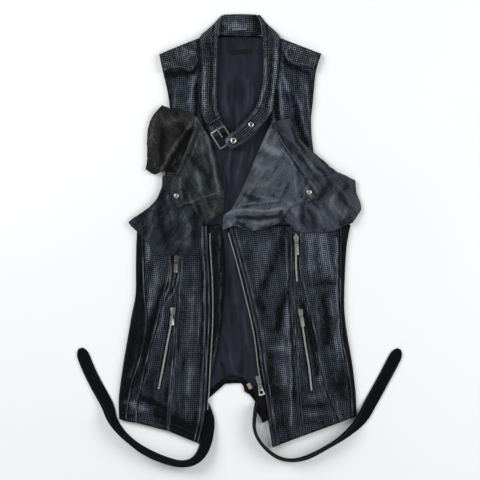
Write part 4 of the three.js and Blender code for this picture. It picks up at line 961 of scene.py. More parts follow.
# %% Zips keep the leather flat under them
ZIPS = {
    "upper_right": [(-124, -34), (-125, -62), (-131, -96)],
    "lower_right": [(-130, -140), (-134.5, -172), (-142, -212), (-150, -256), (-158.5, -299)],
    "upper_left": [(116, 10), (116, -20), (116, -52), (118, -84)],
    "lower_left": [(125, -142), (129, -172), (135, -214), (142, -256), (147, -302)],
}
ZIP_LINES = {name: smooth_line(drawn_line(points)) for name, points in ZIPS.items()}
# Lapel snaps, shoulder snaps, and the slider and pull at the end of the open zip
HARDWARE = drawn_line([(-123, 86), (142, 93), (-92, 361), (105, 372), (41.5, -288), (44, -306)])
HELD = 0.12


def free(points):
    """1 where leather may move, falling to HELD under zips and snaps."""
    clear = np.full(len(points), 1.0)
    for line in ZIP_LINES.values():
        away, _, _ = nearest_on(points, line[::3])
        clear = np.minimum(clear, np.clip((away - 4 * MM) / (7 * MM), HELD, 1))
    for spot in HARDWARE:
        away = np.hypot(*(points - spot).T)
        clear = np.minimum(clear, np.clip((away - 8 * MM) / (8 * MM), HELD, 1))
    return clear


print("zips that keep the leather flat:", list(ZIP_LINES))

# %% Copying, merging and subdividing a solid
def linked(name, mesh):
    piece = bpy.data.objects.new(name, mesh)
    bpy.context.collection.objects.link(piece)
    return piece


def copied(node, name):
    """A piece with a copy of a solid's mesh, its doubled points merged."""
    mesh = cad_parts[node].data.copy()
    mesh.materials.clear()
    piece = linked(name, mesh)
    shape = bmesh.new()
    shape.from_mesh(mesh)
    bmesh.ops.remove_doubles(shape, verts=shape.verts, dist=2e-6)
    shape.to_mesh(mesh)
    shape.free()
    return piece


def only(piece):
    bpy.ops.object.select_all(action="DESELECT")
    piece.select_set(True)
    bpy.context.view_layer.objects.active = piece


def applied(piece, kind, **settings):
    """Adds a modifier with these settings and applies it."""
    only(piece)
    modifier = piece.modifiers.new(kind.lower(), kind)
    for setting, value in settings.items():
        setattr(modifier, setting, value)
    bpy.ops.object.modifier_apply(modifier=modifier.name)


def rounded(piece, levels, rim_angle=50, corner_angle=32):
    """Joins triangles to quads, creases sharp edges and applies a Subdivision Surface."""
    shape = bmesh.new()
    shape.from_mesh(piece.data)
    bmesh.ops.join_triangles(
        shape, faces=shape.faces, angle_face_threshold=math.radians(rim_angle),
        angle_shape_threshold=math.radians(170))
    crease = shape.edges.layers.float.get("crease_edge") or shape.edges.layers.float.new("crease_edge")
    corner = shape.verts.layers.float.get("crease_vert") or shape.verts.layers.float.new("crease_vert")
    for edge in shape.edges:
        if edge.calc_face_angle(0.0) > math.radians(rim_angle):
            edge[crease] = 1.0
    for vertex in shape.verts:
        outline = [edge.other_vert(vertex).co - vertex.co for edge in vertex.link_edges if edge[crease] > 0.5]
        outline = [way for way in outline if way.xy.length > 0.5 * MM]
        if len(outline) == 2 and outline[0].angle(-outline[1]) > math.radians(corner_angle):
            vertex[corner] = 1.0
    shape.to_mesh(piece.data)
    shape.free()
    applied(piece, "SUBSURF", levels=levels, render_levels=levels)


def smoothed(piece, angle=48):
    only(piece)
    bpy.ops.object.shade_smooth_by_angle(angle=math.radians(angle))


def points_of(piece):
    flat = np.empty(len(piece.data.vertices) * 3)
    piece.data.vertices.foreach_get("co", flat)
    return flat.reshape(-1, 3)


def put_points(piece, points):
    piece.data.vertices.foreach_set("co", np.ascontiguousarray(points, dtype=float).ravel())
    piece.data.update()


def write_on(piece, name, values):
    layer = piece.data.attributes.get(name) or piece.data.attributes.new(name, "FLOAT", "POINT")
    layer.data.foreach_set("value", np.ascontiguousarray(values, dtype=np.float32))


# The wear and painted light and shade of a piece, which the finishes read
def write_wear_and_shading(piece, tone):
    write_on(piece, "wear_and_shading", np.clip(tone, 0, 1) * np.ones(len(piece.data.vertices)))


def lay_grain(piece, flat):
    """The grain map: where each point is on the flat piece, in metres."""
    layer = piece.data.uv_layers.get("grain") or piece.data.uv_layers.new(name="grain")
    corners = np.empty(len(piece.data.loops), dtype=np.int32)
    piece.data.loops.foreach_get("vertex_index", corners)
    layer.data.foreach_set("uv", np.ascontiguousarray(flat[corners], dtype=np.float32).ravel())


def turned_grain(piece, degrees):
    """Lays the grain in the pack's own plane, turned by some degrees."""
    points = points_of(piece)
    angle = math.radians(degrees)
    x = points[:, 0] * math.cos(angle) + points[:, 1] * math.sin(angle)
    y = points[:, 1] * math.cos(angle) - points[:, 0] * math.sin(angle)
    lay_grain(piece, np.stack([x, y], axis=1))


# %% Which points are on the upper face, and how far the rim is
STEEP = 0.35  # the most that a wall's normal points up or down


def faces_and_rim(piece):
    """For each point: 1 on the upper face, 0 on the lower, and its flat distance from the rim."""
    points = points_of(piece)
    upward = np.zeros(len(points))
    walls, faces = np.zeros((2, len(points)), dtype=bool)
    for polygon in piece.data.polygons:
        level = polygon.normal.z
        steep = abs(level) < STEEP
        for vertex in polygon.vertices:
            upward[vertex] += level
            (walls if steep else faces)[vertex] = True
    rim = points[walls & faces] if (walls & faces).any() else points[walls]
    tree = KDTree(len(rim))
    for index, (x, y, _) in enumerate(rim):
        tree.insert((x, y, 0), index)
    tree.balance()
    away = np.array([tree.find((x, y, 0))[2] for x, y, _ in points])
    return (upward > 0).astype(float), away


print("a wall's normal is level within", round(math.degrees(math.asin(STEEP))), "degrees")


# %% [markdown]
# ## Laying the sheets
# Every sheet is given its finish and its body. The tables give, for each one, its finish, the turn
# of its grain, what it lies on, and its cut: width and length of the smallest rectangle it is cut from,
# and its own area.

# %% One sheet
# TONE: the painted tone, wear and painted light together, of leather that is neither ridge nor trough
TONE = 0.39  # the wear of leather that is neither ridge nor trough


def add_creases(
        piece, layers, fade_top=None, seam=0.0, with_welts=False, rub_and_shade_places=(), seams=(), heading=0, small=0.3,
        ridge_shading=0.27):
    """Lifts a sheet along its creases, puckers, welts and fine folds, and writes its painted light and shade
    to match.

    fade_top is the height where the fade of a turned-down edge starts and ends, and the wall's thickness.
    seam is how deep the rim is drawn in, small the height of the fine folds, and ridge_shading how much
    lighter a ridge is painted than a trough, as painted highlight and shade.
    """
    points = points_of(piece)
    flat = points[:, :2]
    upper, rim = faces_and_rim(piece)
    height = puckers(flat, seams)
    ridge = height / (0.9 * MM)
    for creases in layers:
        rise, share = relief(flat, creases)
        height += rise
        ridge += share
    if with_welts:
        lift = welts(flat)
        height += lift
        ridge += lift / (1.1 * MM)
    folds = fine_folds(flat, heading)
    height += small * MM * folds
    allowed = free(flat)
    if fade_top is not None:
        low, high, thickness = fade_top
        upper_share = eased(points[:, 2], low * MM, high * MM)
        lower_share = eased(points[:, 2], 0.2 * MM, (high - thickness) * MM)
        allowed = allowed * np.where(upper > 0.5, upper_share, lower_share)
    points[:, 2] += height * allowed - seam * MM * bell(rim, 1.7 * MM) * upper
    points[:, 2] = np.maximum(points[:, 2], 0.0)
    put_points(piece, points)
    # Painted light and shade: ridges of creases, puckers, welts and fine folds are painted lighter and
    # troughs darker, with the listed places; along a seam the rim is painted darker, as painted shade in its
    # groove
    ridge = np.where(ridge < 0, 0.6 * ridge, ridge)
    tone = TONE + ridge_shading * ridge + 0.5 * small * folds + 0.85 * rubs_and_shading(flat, rub_and_shade_places)
    write_wear_and_shading(piece, tone - 0.5 * bell(rim, 2.4 * MM) * (seam > 0))
    return rim


def declared(piece, nodes, material, body="vest"):
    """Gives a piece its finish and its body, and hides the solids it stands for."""
    piece.data.materials.clear()
    piece.data.materials.append(material)
    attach(piece, body)
    if nodes:
        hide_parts(*nodes)
    return piece


sheets = {}


def laid(piece, node, material, slot_name, flat, area, under, held="laid", angle=48):
    smoothed(piece, angle)
    declared(piece, [node], material)
    sheets[node] = piece


def ragged(piece, rim, size):
    """Moves the points near the rim in and out, as an edge torn and cut by hand, and marks it as raw."""
    points = points_of(piece)
    near = bell(rim, 5 * MM)
    for index in np.nonzero(near > 0.02)[0]:
        x, y = points[index, :2]
        coarse = noise.noise_vector(Vector((x * 70, y * 70, 3.1)))
        fine = noise.noise_vector(Vector((x * 240, y * 240, 8.7)))
        points[index, 0] += near[index] * MM * (size * coarse.x + 0.45 * size * fine.x)
        points[index, 1] += near[index] * MM * (size * coarse.y + 0.45 * size * fine.y)
    put_points(piece, points)
    write_on(piece, "raw_edge", np.clip(1.15 * bell(rim, 0.9 * MM), 0, 1))


# %% The fronts
FRONTS = {
    # node: turn of the grain, cut (width, length), area
    "front_upper_right": (-4, (0.157, 0.375), 0.0341),
    "front_upper_left": (5, (0.244, 0.375), 0.0436),
    "side_panel_right": (-4, (0.057, 0.392), 0.0112),
    "side_panel_left": (4, (0.036, 0.385), 0.0065),
    "side_front_right": (-8, (0.089, 0.395), 0.0128),
    "side_front_left": (8, (0.104, 0.394), 0.0243),
    "pocket_insert_right": (-8, (0.091, 0.411), 0.0169),
    "pocket_insert_left": (8, (0.096, 0.421), 0.0159),
    "centre_front_right": (-2, (0.086, 0.437), 0.0289),
    "centre_front_left": (6, (0.150, 0.444), 0.0380),
}
for node, (turn, cut, area) in FRONTS.items():
    piece = copied(node, node + "_leather")
    rounded(piece, 3)
    turned_grain(piece, turn)
    add_creases(
        piece, [BODY], fade_top=(3.4, 7.0, 1.6), seam=0.8, with_welts=True, rub_and_shade_places=RUBS_AND_SHADING, seams=PUCKERS,
        heading=turn, ridge_shading=0.18 if node == "centre_front_left" else 0.26)
    finish = (plain_leather, "plain_leather") if "side_panel" in node else (perforated, "perforated_leather")
    laid(piece, node, *finish, cut, area, "back_lining_cloth")
print("fronts:", {name: len(piece.data.polygons) for name, piece in sheets.items()})

# %% Facings and lapels
LAPEL_FADE = (5.6, 11.0, 1.6)
UPPER_LAYERS = {
    # node: finish, creases, fade, size of the ragged edge, turn, rests on, cut, area
    "facing_flap_upper_right": (
        suede_brown, [BODY, FLAPS], None, 1.6, 25, "front_upper_right", (0.098, 0.140), 0.0105),
    "facing_flap_lower_right": (
        suede_navy, [BODY, FLAPS], None, 1.3, -30, "side_front_right", (0.161, 0.159), 0.0177),
    "facing_flap_left": (
        suede_grey, [BODY, FLAPS], None, 1.3, 35, "front_upper_left", (0.170, 0.227), 0.0244),
    "lapel_right": (
        lapel_right_leather, [BODY, FLAPS, LAPELS], LAPEL_FADE, 0, 24, "facing_flap_lower_right",
        (0.110, 0.209), 0.0141),
    "lapel_left": (
        lapel_left_leather, [BODY, FLAPS, LAPELS], LAPEL_FADE, 0, -30, "facing_flap_left",
        (0.193, 0.225), 0.0198),
}
for node, (material, layers, fade, torn, turn, under, cut, area) in UPPER_LAYERS.items():
    piece = copied(node, node + "_leather")
    rounded(piece, 3, corner_angle=16)
    turned_grain(piece, turn)
    rim = add_creases(
        piece, layers, fade_top=fade, rub_and_shade_places=RUBS_AND_SHADING_ABOVE, seams=PUCKERS_ABOVE, heading=turn, small=0.45,
        ridge_shading=0.24)
    if torn:
        ragged(piece, rim, torn)
    else:
        write_on(piece, "raw_edge", 0.5 * bell(rim, 0.8 * MM))
    laid(piece, node, material, "smooth_leather", cut, area, under + "_leather", held="folded")
print("upper layers:", {name: len(sheets[name].data.polygons) for name in UPPER_LAYERS})

# %% [markdown]
# ## Shoulder flaps, collar and stand
# The shoulder flaps are small perforated tabs that snap down beside the collar. The collar bands are
# stitched lengthwise, which leaves a groove between two soft rolls, and their dots follow the band. So
# the grain of a band is measured along its middle line and across it.

# %% Shoulder flaps
for hand, turn, cut, area in [
    ("right", 12, (0.078, 0.068), 0.00374),
    ("left", -14, (0.080, 0.063), 0.0030),
]:
    node = f"shoulder_flap_{hand}"
    piece = copied(node, node + "_leather")
    rounded(piece, 3)
    turned_grain(piece, turn)
    add_creases(piece, [BODY], seam=0.5)
    _, rim = faces_and_rim(piece)
    # Painted light and shade: the small folds are painted lighter and darker; the tab is also darker towards
    # its rim
    write_wear_and_shading(piece, 0.5 + 0.18 * fine_folds(points_of(piece), 60) - 0.4 * bell(rim, 2 * MM))
    laid(piece, node, collar_leather, "perforated_leather", cut, area, f"front_upper_{hand}_leather")
print("shoulder flaps:", [len(sheets[f"shoulder_flap_{hand}"].data.polygons) for hand, _ in HANDS])

# %% Collar bands
COLLAR = {
    "right": [
        [(-34, 447), (-30, 449)], [(-50, 430), (-37.4, 436)], [(-64, 417), (-39.4, 420)],
        [(-77, 403), (-40, 398)], [(-75, 378), (-40, 374)], [(-73, 350), (-41, 350)],
        [(-74, 316), (-42, 316)], [(-75, 284), (-43, 284)], [(-75, 256), (-42, 262)],
        [(-67, 233), (-36, 245)], [(-55, 214), (-29, 231)], [(-47, 201), (-21, 219)],
    ],
    "left": [
        [(43.5, 449), (38, 449)], [(58.5, 431), (45.4, 436)], [(72.5, 418), (48.4, 420)],
        [(84, 403.5), (50, 398)], [(82, 380), (50, 374)], [(82, 352), (50, 350)],
        [(77, 322), (49, 322)], [(73, 296), (46, 298)],
        [(70, 270), (40, 274)], [(65, 248), (28, 252)], [(48, 226), (10, 232)], [(28, 204), (-3, 220)],
        [(6, 188), (-11, 213)], [(-11, 180), (-19, 207)], [(-22, 185), (-26, 198)],
    ],
}
BAND_WIDE = 0.0365
collar_edges = {}
for hand, length, area in [("right", 0.262, 0.00849), ("left", 0.305, 0.00968)]:
    node = f"collar_band_{hand}"
    outer, inner = (smooth_line(drawn_line(edge)) for edge in zip(*COLLAR[hand]))
    collar_edges[hand] = (outer, inner)
    piece = copied(node, node + "_leather")
    rounded(piece, 3)
    points = points_of(piece)
    to_outer, _, along = nearest_on(points[:, :2], outer[::2])
    to_inner, _, _ = nearest_on(points[:, :2], inner[::2])
    run = along * len(outer) * LINE_STEP
    lay_grain(piece, np.stack([to_outer, run], axis=1))
    upper, rim = faces_and_rim(piece)
    groove = bell(to_inner - 9.5 * MM, 1.6 * MM)
    rolls = 0.8 * bell(to_inner - 5 * MM, 3 * MM) + bell(to_outer - 6 * MM, 3.4 * MM)
    ends = eased(np.minimum(along, 1 - along), 0.0, 0.08)
    gathers = np.sin(run / MM * 0.62 + 3 * np.sin(run / MM * 0.21)) * groove
    points[:, 2] += MM * upper * ends * (0.5 * rolls - 1.5 * groove + 0.25 * gathers)
    points[:, 2] -= 0.5 * MM * bell(rim, 1.5 * MM) * upper
    points[:, 2] = np.maximum(points[:, 2], 0.0)
    put_points(piece, points)
    # Painted light and shade: the rolls are painted lighter and the groove darker
    write_wear_and_shading(piece, 0.4 + 0.16 * rolls - 0.34 * groove + 0.8 * rubs_and_shading(points[:, :2], RUBS_AND_SHADING_STRIPS))
    laid(
        piece, node, collar_leather, "perforated_leather", (BAND_WIDE, length), area,
        f"front_upper_{hand}_leather")
print("collar bands:", [len(sheets[f"collar_band_{hand}"].data.polygons) for hand in COLLAR])

# %% [markdown]
# ## Back, lining, facings and small strips
# The back lies flat with its leather down. The navy lining covers it and shows in the neck and between
# the open fronts. The hem facing, placket, collar stand, keeper, hanger loop, blank label, blank tab and
# the tail of the zip tape are small strips of the same leathers and cloths.

# %% Back and lining
def cut_grid(piece, step):
    """Cuts a flat solid along a square grid, so that it has points to move."""
    points = points_of(piece)
    low, high = points.min(axis=0), points.max(axis=0)
    shape = bmesh.new()
    shape.from_mesh(piece.data)
    for axis, normal in enumerate(np.eye(3)[:2]):
        for place in np.arange(low[axis] + step / 2, high[axis], step):
            everything = shape.verts[:] + shape.edges[:] + shape.faces[:]
            bmesh.ops.bisect_plane(
                shape, geom=everything, dist=1e-6, plane_co=place * normal, plane_no=normal)
    shape.to_mesh(piece.data)
    shape.free()


back = copied("back_body", "back_body_leather")
cut_grid(back, 9 * MM)
turned_grain(back, 0)
points = points_of(back)
rise, ridge = relief(points[:, :2], BACK)
upper, rim = faces_and_rim(back)
points[:, 2] += np.maximum(rise, 0) * 0.35 * (1 - upper) * eased(rim, 0.0, 0.02)
put_points(back, points)
# Painted highlight: the ridges of the back are painted lighter
write_wear_and_shading(back, 0.4 + 0.5 * ridge)
laid(back, "back_body", plain_leather, "plain_leather", (0.472, 0.767), 0.2708, "studio_floor")

lining = copied("back_lining", "back_lining_cloth")
rounded(lining, 2)
turned_grain(lining, 0)
add_creases(lining, [LINING], small=0.35, ridge_shading=0.42)
laid(lining, "back_lining", lining_cloth, "lining_cloth", (0.463, 0.754), 0.2596, "back_body_leather")
print("back:", len(back.data.polygons), "lining:", len(lining.data.polygons))

# %% Small strips
STRIPS = {
    # node: finish, slot, rests on, cut, area; a strip under 10 mm wide isn't declared as a sheet
    "back_hem_facing": (plain_leather, "plain_leather", "back_lining_cloth", (0.0115, 0.095), 0.00075),
    "placket_facing": (plain_leather, "plain_leather", "back_lining_cloth", (0.051, 0.322), 0.0130),
    "collar_stand": (collar_leather, "perforated_leather", "back_lining_cloth", (0.088, 0.046), 0.00375),
    "collar_keeper": (collar_leather, "perforated_leather"),
    "hanger_loop": (edge_leather, "plain_leather"),
    "neck_label": (label_cloth, "label_cloth"),
    "zip_tape_tail": (zip_tape, "zip_tape", "centre_front_left_leather", (0.026, 0.078), 0.0016),
    "care_tab": (tab_cloth, "tab_cloth"),
}
TAIL_TORN = squares([(260, 421), (256, 409)])[:, 1]


def shaped_tail(points, upper, rim):
    """Widens the tail of the zip tape, pulls its upper part to the strap and folds it a little."""
    x, y = points[:, 0].copy(), points[:, 1]
    x += 0.5 * (x - x.mean()) + 2 * MM + 1.5 * MM * uneven(points, 90)
    leftness = (x.max() - x) / np.ptp(x)
    x -= 7.5 * MM * leftness * eased(y, *TAIL_TORN)
    points[:, 0] = x
    points[:, 2] += 0.5 * MM * upper * fine_folds(points, 35) * eased(rim, 0, 3 * MM)


for node, (material, slot_name, *cut) in STRIPS.items():
    is_cloth = slot_name in ("label_cloth", "tab_cloth", "zip_tape")
    piece = copied(node, node + ("_cloth" if is_cloth else "_leather"))
    rounded(piece, 2)
    turned_grain(piece, 30 if node == "collar_keeper" else 3)
    upper, rim = faces_and_rim(piece)
    points = points_of(piece)
    points[:, 2] -= 0.25 * MM * bell(rim, 0.8 * MM) * upper
    if node == "zip_tape_tail":
        shaped_tail(points, upper, rim)
    put_points(piece, points)
    # Painted highlight: the hanger loop is painted much lighter; every strip is darker towards its rim
    base = 0.9 if node == "hanger_loop" else 0.5
    write_wear_and_shading(piece, base - 0.4 * bell(rim, 1.2 * MM) + 0.8 * rubs_and_shading(points[:, :2], RUBS_AND_SHADING_STRIPS))
    if cut:
        under, flat, area = cut
        laid(piece, node, material, slot_name, flat, area, under)
    else:
        smoothed(piece)
        declared(piece, [node], material)
print("small strips:", len(STRIPS))

# %% Waist straps
STRAP_WIDE = 0.025
for hand, length in (("right", 0.548), ("left", 0.520)):
    node = f"waist_strap_{hand}"
    piece = copied(node, node + "_leather")
    rounded(piece, 3, 60)
    turned_grain(piece, 0)
    # Painted shade: where a strap stands up on its edge it is painted darker
    write_wear_and_shading(piece, 0.34 - 0.1 * eased(points_of(piece)[:, 2], 14 * MM, 24 * MM))
    laid(
        piece, node, strap_leather, "plain_leather", (STRAP_WIDE, length), None, "studio_floor", angle=60)
print("straps:", [len(sheets[f"waist_strap_{hand}"].data.polygons) for hand, _ in HANDS])

# %% [markdown]
# ## Metal parts
# Sliders, pulls and the buckle keep the exact shape of their solids; only their edges are softened, as
# stamping and tumbling leave them. The solids are copied, their flat faces are cleaned of needless edges
# and a narrow bevel is applied.

# %% Softened metal
def tumbled(node, name, width, material, body="vest"):
    piece = copied(node, name)
    only(piece)
    bpy.ops.object.mode_set(mode="EDIT")
    bpy.ops.mesh.select_all(action="SELECT")
    bpy.ops.mesh.dissolve_limited(angle_limit=math.radians(1))
    bpy.ops.object.mode_set(mode="OBJECT")
    applied(
        piece, "BEVEL", width=width * MM, segments=2, limit_method="ANGLE",
        angle_limit=math.radians(32))
    smoothed(piece, 35)
    return declared(piece, [node], material, body)


metalware = []
for name in ("front_left", "upper_right", "lower_right", "upper_left", "lower_left"):
    # The zip that is half hidden under the wearer's right flap gets darker metal
    slider_metal, pull_metal = (black_nickel, old_nickel) if name == "upper_right" else (old_nickel, nickel)
    metalware.append(tumbled(f"zip_slider_{name}", f"slider_{name}", 0.28, slider_metal))
    metalware.append(tumbled(f"zip_pull_{name}", f"pull_{name}_tab", 0.22, pull_metal, "pull_" + name))
for node, width, material in [
    ("buckle_frame", 0.8, old_nickel), ("buckle_prong", 0.5, old_nickel),
    ("lapel_snap_right", 0.25, nickel), ("lapel_snap_left", 0.25, nickel),
    ("eyelet_front", 0.25, nickel), ("eyelet_side", 0.25, nickel),
]:
    metalware.append(tumbled(node, node + "_metal", width, material))
print("metal parts:", len(metalware))

# %% Snaps covered with leather
for node in ("flap_snap_right", "flap_snap_left"):
    piece = copied(node, node + "_leather")
    rounded(piece, 2, 70)
    turned_grain(piece, 0)
    write_wear_and_shading(piece, 0.4)
    smoothed(piece, 60)
    declared(piece, [node], collar_leather)
    print(node, len(piece.data.polygons), "faces")

# %% [markdown]
# ## Zips
# A metal zip is two woven tapes with a row of small teeth clamped on each. On a closed pocket zip the two
# rows mesh; on the open main zip each front edge carries its own row. One tooth is modelled from a cube
# and copied along each chain.

# %% One tooth
TOOTH = (2.4 * MM, 0.95 * MM, 1.7 * MM)  # across the chain, along it and high
bpy.ops.object.select_all(action="DESELECT")
bpy.ops.mesh.primitive_cube_add(size=1)
tooth = bpy.context.object
tooth.scale = TOOTH
bpy.ops.object.transform_apply(scale=True)
bpy.ops.object.mode_set(mode="EDIT")
bpy.ops.mesh.select_all(action="SELECT")
bpy.ops.mesh.bevel(offset=0.28 * MM, segments=1, affect="EDGES")
bpy.ops.object.mode_set(mode="OBJECT")


def taken(pattern):
    """The points and faces of a pattern piece, which is then thrown away."""
    shape = points_of(pattern), [list(polygon.vertices) for polygon in pattern.data.polygons]
    bpy.data.objects.remove(pattern)
    return shape


TOOTH_SHAPE = taken(tooth)
print("faces of a tooth:", len(TOOTH_SHAPE[1]))

# %% Copies of a shape, and chains
def repeated(name, shape, places):
    """One mesh of many copies of a shape; each place is an origin and three axes."""
    corners, faces = shape
    points = [origin + corners @ np.array(axes) for origin, *axes in places]
    polygons = [
        [index + number * len(corners) for index in face] for number in range(len(places)) for face in faces]
    mesh = bpy.data.meshes.new(name)
    mesh.from_pydata(np.concatenate(points).tolist(), [], polygons)
    return linked(name, mesh)


def unit(vector):
    return vector / np.linalg.norm(vector)


def chain_line(node):
    """The middle line of a chain's solid at its underside, from the four corners of each section."""
    corners = np.unique(np.round(points_of(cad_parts[node]), 6), axis=0)
    corners = corners[np.argsort(-corners[:, 1])]
    sections = corners[: len(corners) // 4 * 4].reshape(-1, 4, 3)
    middle = sections.mean(axis=1)
    middle[:, 2] = sections[:, :, 2].min(axis=1)
    return middle


def teeth(name, line, sides, material=teeth_metal):
    """Teeth along a line; sides lists the shift of each next tooth across the chain, in millimetres."""
    places = []
    way = np.gradient(line, axis=0)
    for index, (spot, ahead) in enumerate(zip(line, way)):
        ahead = unit(ahead)
        across = unit(np.cross([0, 0, 1], ahead))
        shift = sides[index % len(sides)]
        turn = 1 if shift >= 0 else -1
        origin = spot + across * shift * MM + np.array([0, 0, 1.12 * MM])
        places.append((origin, across * turn, ahead * turn, np.cross(across, ahead)))
    piece = repeated("teeth_" + name, TOOTH_SHAPE, places)
    smoothed(piece, 30)
    declared(piece, ["zip_chain_" + name], material)
    return len(places)


def ribbon(name, line, half, low, thick, material, shift=0.0, crown=0.0):
    """A thin closed strip along a line, half on each side, its underside low above the line."""
    way = np.gradient(line, axis=0)
    across = np.array([unit(np.cross([0, 0, 1], ahead)) for ahead in way])
    columns = np.linspace(-1, 1, 7)
    upper = []
    for column in columns:
        top = low + thick + crown * (1 - column**2)
        upper.append(line + across * (column * half + shift) * MM + np.array([0, 0, top * MM]))
    upper = np.stack(upper, axis=1)
    rise = np.array([0, 0, crown * MM]) * (1 - columns**2)[None, :, None]
    lower = upper - np.array([0, 0, thick * MM]) - rise
    rows, count = upper.shape[:2]
    points = np.concatenate([upper.reshape(-1, 3), lower.reshape(-1, 3)])
    base = rows * count
    faces = []
    for r in range(rows - 1):
        for c in range(count - 1):
            a, b, d, e = r * count + c, r * count + c + 1, (r + 1) * count + c + 1, (r + 1) * count + c
            faces += [(a, b, d, e), (a + base, e + base, d + base, b + base)]
        for c in (0, count - 1):
            a, b = r * count + c, (r + 1) * count + c
            faces.append((a, b, b + base, a + base) if c == 0 else (a, a + base, b + base, b))
    for r in (0, rows - 1):
        for c in range(count - 1):
            a, b = r * count + c, r * count + c + 1
            faces.append((b, a, a + base, b + base) if r == 0 else (a, b, b + base, a + base))
    mesh = bpy.data.meshes.new(name)
    mesh.from_pydata(points.tolist(), [], faces)
    piece = linked(name, mesh)
    shape = bmesh.new()
    shape.from_mesh(mesh)
    bmesh.ops.recalc_face_normals(shape, faces=shape.faces)
    shape.to_mesh(mesh)
    shape.free()
    run = np.concatenate([[0], np.cumsum(np.linalg.norm(np.diff(line, axis=0), axis=1))])
    flat = np.stack([np.tile(columns * half * MM, rows), np.repeat(run, count)], axis=1)
    lay_grain(piece, np.concatenate([flat, flat]))
    write_wear_and_shading(piece, 0.4)
    smoothed(piece, 40)
    declared(piece, [], material)
    return piece


# %% The six chains
TOOTH_STEP = 1.15 * MM
count = 0
for name in ZIPS:
    middle = smooth_line(chain_line("zip_chain_" + name), TOOTH_STEP)
    # The teeth of the zip under the wearer's right flap get the darker aged nickel
    count += teeth(name, middle, (-0.75, 0.75), old_nickel if name == "upper_right" else teeth_metal)
    ribbon(
        f"tape_{name}_cloth", smooth_line(middle[::6]), 5.1, -0.32, 0.26, zip_tape)
for hand, away in HANDS:
    middle = smooth_line(chain_line("zip_chain_front_" + hand), 2 * TOOTH_STEP)
    count += teeth("front_" + hand, middle, (0.45 * away,))
    ribbon(
        f"tape_front_{hand}_cloth", smooth_line(middle[::4]), 5.2, -0.34, 0.26, zip_tape,
        shift=-5.0 * away)
print("teeth:", count)

# %% [markdown]
# ## Stitches
# Every seam of a leather vest is sewn with a coarse thread, a stitch about every 4 mm, which sinks a
# little into the leather. One stitch is modelled as a short spindle and laid along each seam, at the
# height that a ray from above finds on the leather below it.

# %% One stitch
bpy.ops.object.select_all(action="DESELECT")
bpy.ops.mesh.primitive_uv_sphere_add(segments=6, ring_count=4, radius=0.5, rotation=(0, math.pi / 2, 0))
spindle = bpy.context.object
spindle.scale = (0.72 * MM, 0.72 * MM, 2.7 * MM)
bpy.ops.object.transform_apply(location=False, rotation=True, scale=True)
STITCH_SHAPE = taken(spindle)
print("stitch size:", np.ptp(STITCH_SHAPE[0], axis=0).round(5), "faces:", len(STITCH_SHAPE[1]))

# %% Rays from above, and a row of stitches
ABOVE = 0.1
DOWN = Vector((0, 0, -1))


def surface(names):
    """What a ray from above can hit: the faces of some sheets."""
    trees = []
    for name in names:
        data = sheets[name].data
        trees.append(BVHTree.FromPolygons([v.co for v in data.vertices], [p.vertices for p in data.polygons]))
    return trees


def dropped(trees, x, y):
    """The highest point of the leather at a place, or None beside it."""
    hits = [tree.ray_cast(Vector((x, y, ABOVE)), DOWN)[0] for tree in trees]
    return max((hit.z for hit in hits if hit is not None), default=None)


def sew(name, lines, hosts, material=dark_thread):
    """A stitch every 3.8 mm along lines, where the leather below is whole and even."""
    trees = surface(hosts)
    places = []
    for line in lines:
        line = smooth_line(np.asarray(line)[:, :2], 3.8 * MM)
        spots = [(x, y, dropped(trees, x, y)) for x, y in line]
        for first, second in zip(spots[:-1], spots[1:]):
            if first[2] is None or second[2] is None or abs(first[2] - second[2]) > 2 * MM:
                continue
            first, second = np.array(first), np.array(second)
            ahead = unit(second - first)
            across = unit(np.cross([0, 0, 1], ahead))
            x, y, z = (first + second) / 2
            top = dropped(trees, x, y)
            if top is not None and abs(top - z) <= 1.5 * MM:
                places.append((np.array([x, y, top + 0.12 * MM]), ahead, across, np.cross(ahead, across)))
    piece = repeated(name, STITCH_SHAPE, places)
    smoothed(piece, 80)
    declared(piece, [], material)
    print(name, len(places))


# %% [markdown]
# ## Turned edges and the hem band
# Where two pieces of a front meet, one is turned in and stands up as a narrow roll, grey partly from rubbing
# and partly as painted highlight.
# The lapels have such rolls too. Each roll is a thin strip laid along its seam, at the height of the
# leather there. A wider strip of the back's leather edges the lining at the arch of the hem.

# %% Turned edges along the seams
def turned_edges(name, lines, hosts, half):
    """Narrow rolls of leather along lines, each at the height of the leather below it."""
    trees = surface(hosts)
    made = 0
    for number, line in enumerate(lines):
        line = smooth_line(np.asarray(line)[:, :2], 3 * MM)
        spots = [(x, y, dropped(trees, x, y)) for x, y in line]
        spots = np.array([spot for spot in spots if spot[2] is not None])
        spots = spots[np.concatenate([[True], np.abs(np.diff(spots[:, 2])) < 1.6 * MM])]
        if len(spots) > 6:
            spots[1:-1, 2] = (spots[:-2, 2] + spots[1:-1, 2] + spots[2:, 2]) / 3
            roll = ribbon(
                f"{name}_{number}", spots, half, -0.7, 0.45, edge_leather, crown=0.8)
            # The rolls are painted light grey, partly as rubbing and partly as painted highlight
            write_wear_and_shading(roll, 0.55 + 0.4 * uneven(points_of(roll), 45, number))
            made += 1
    print(name, made)


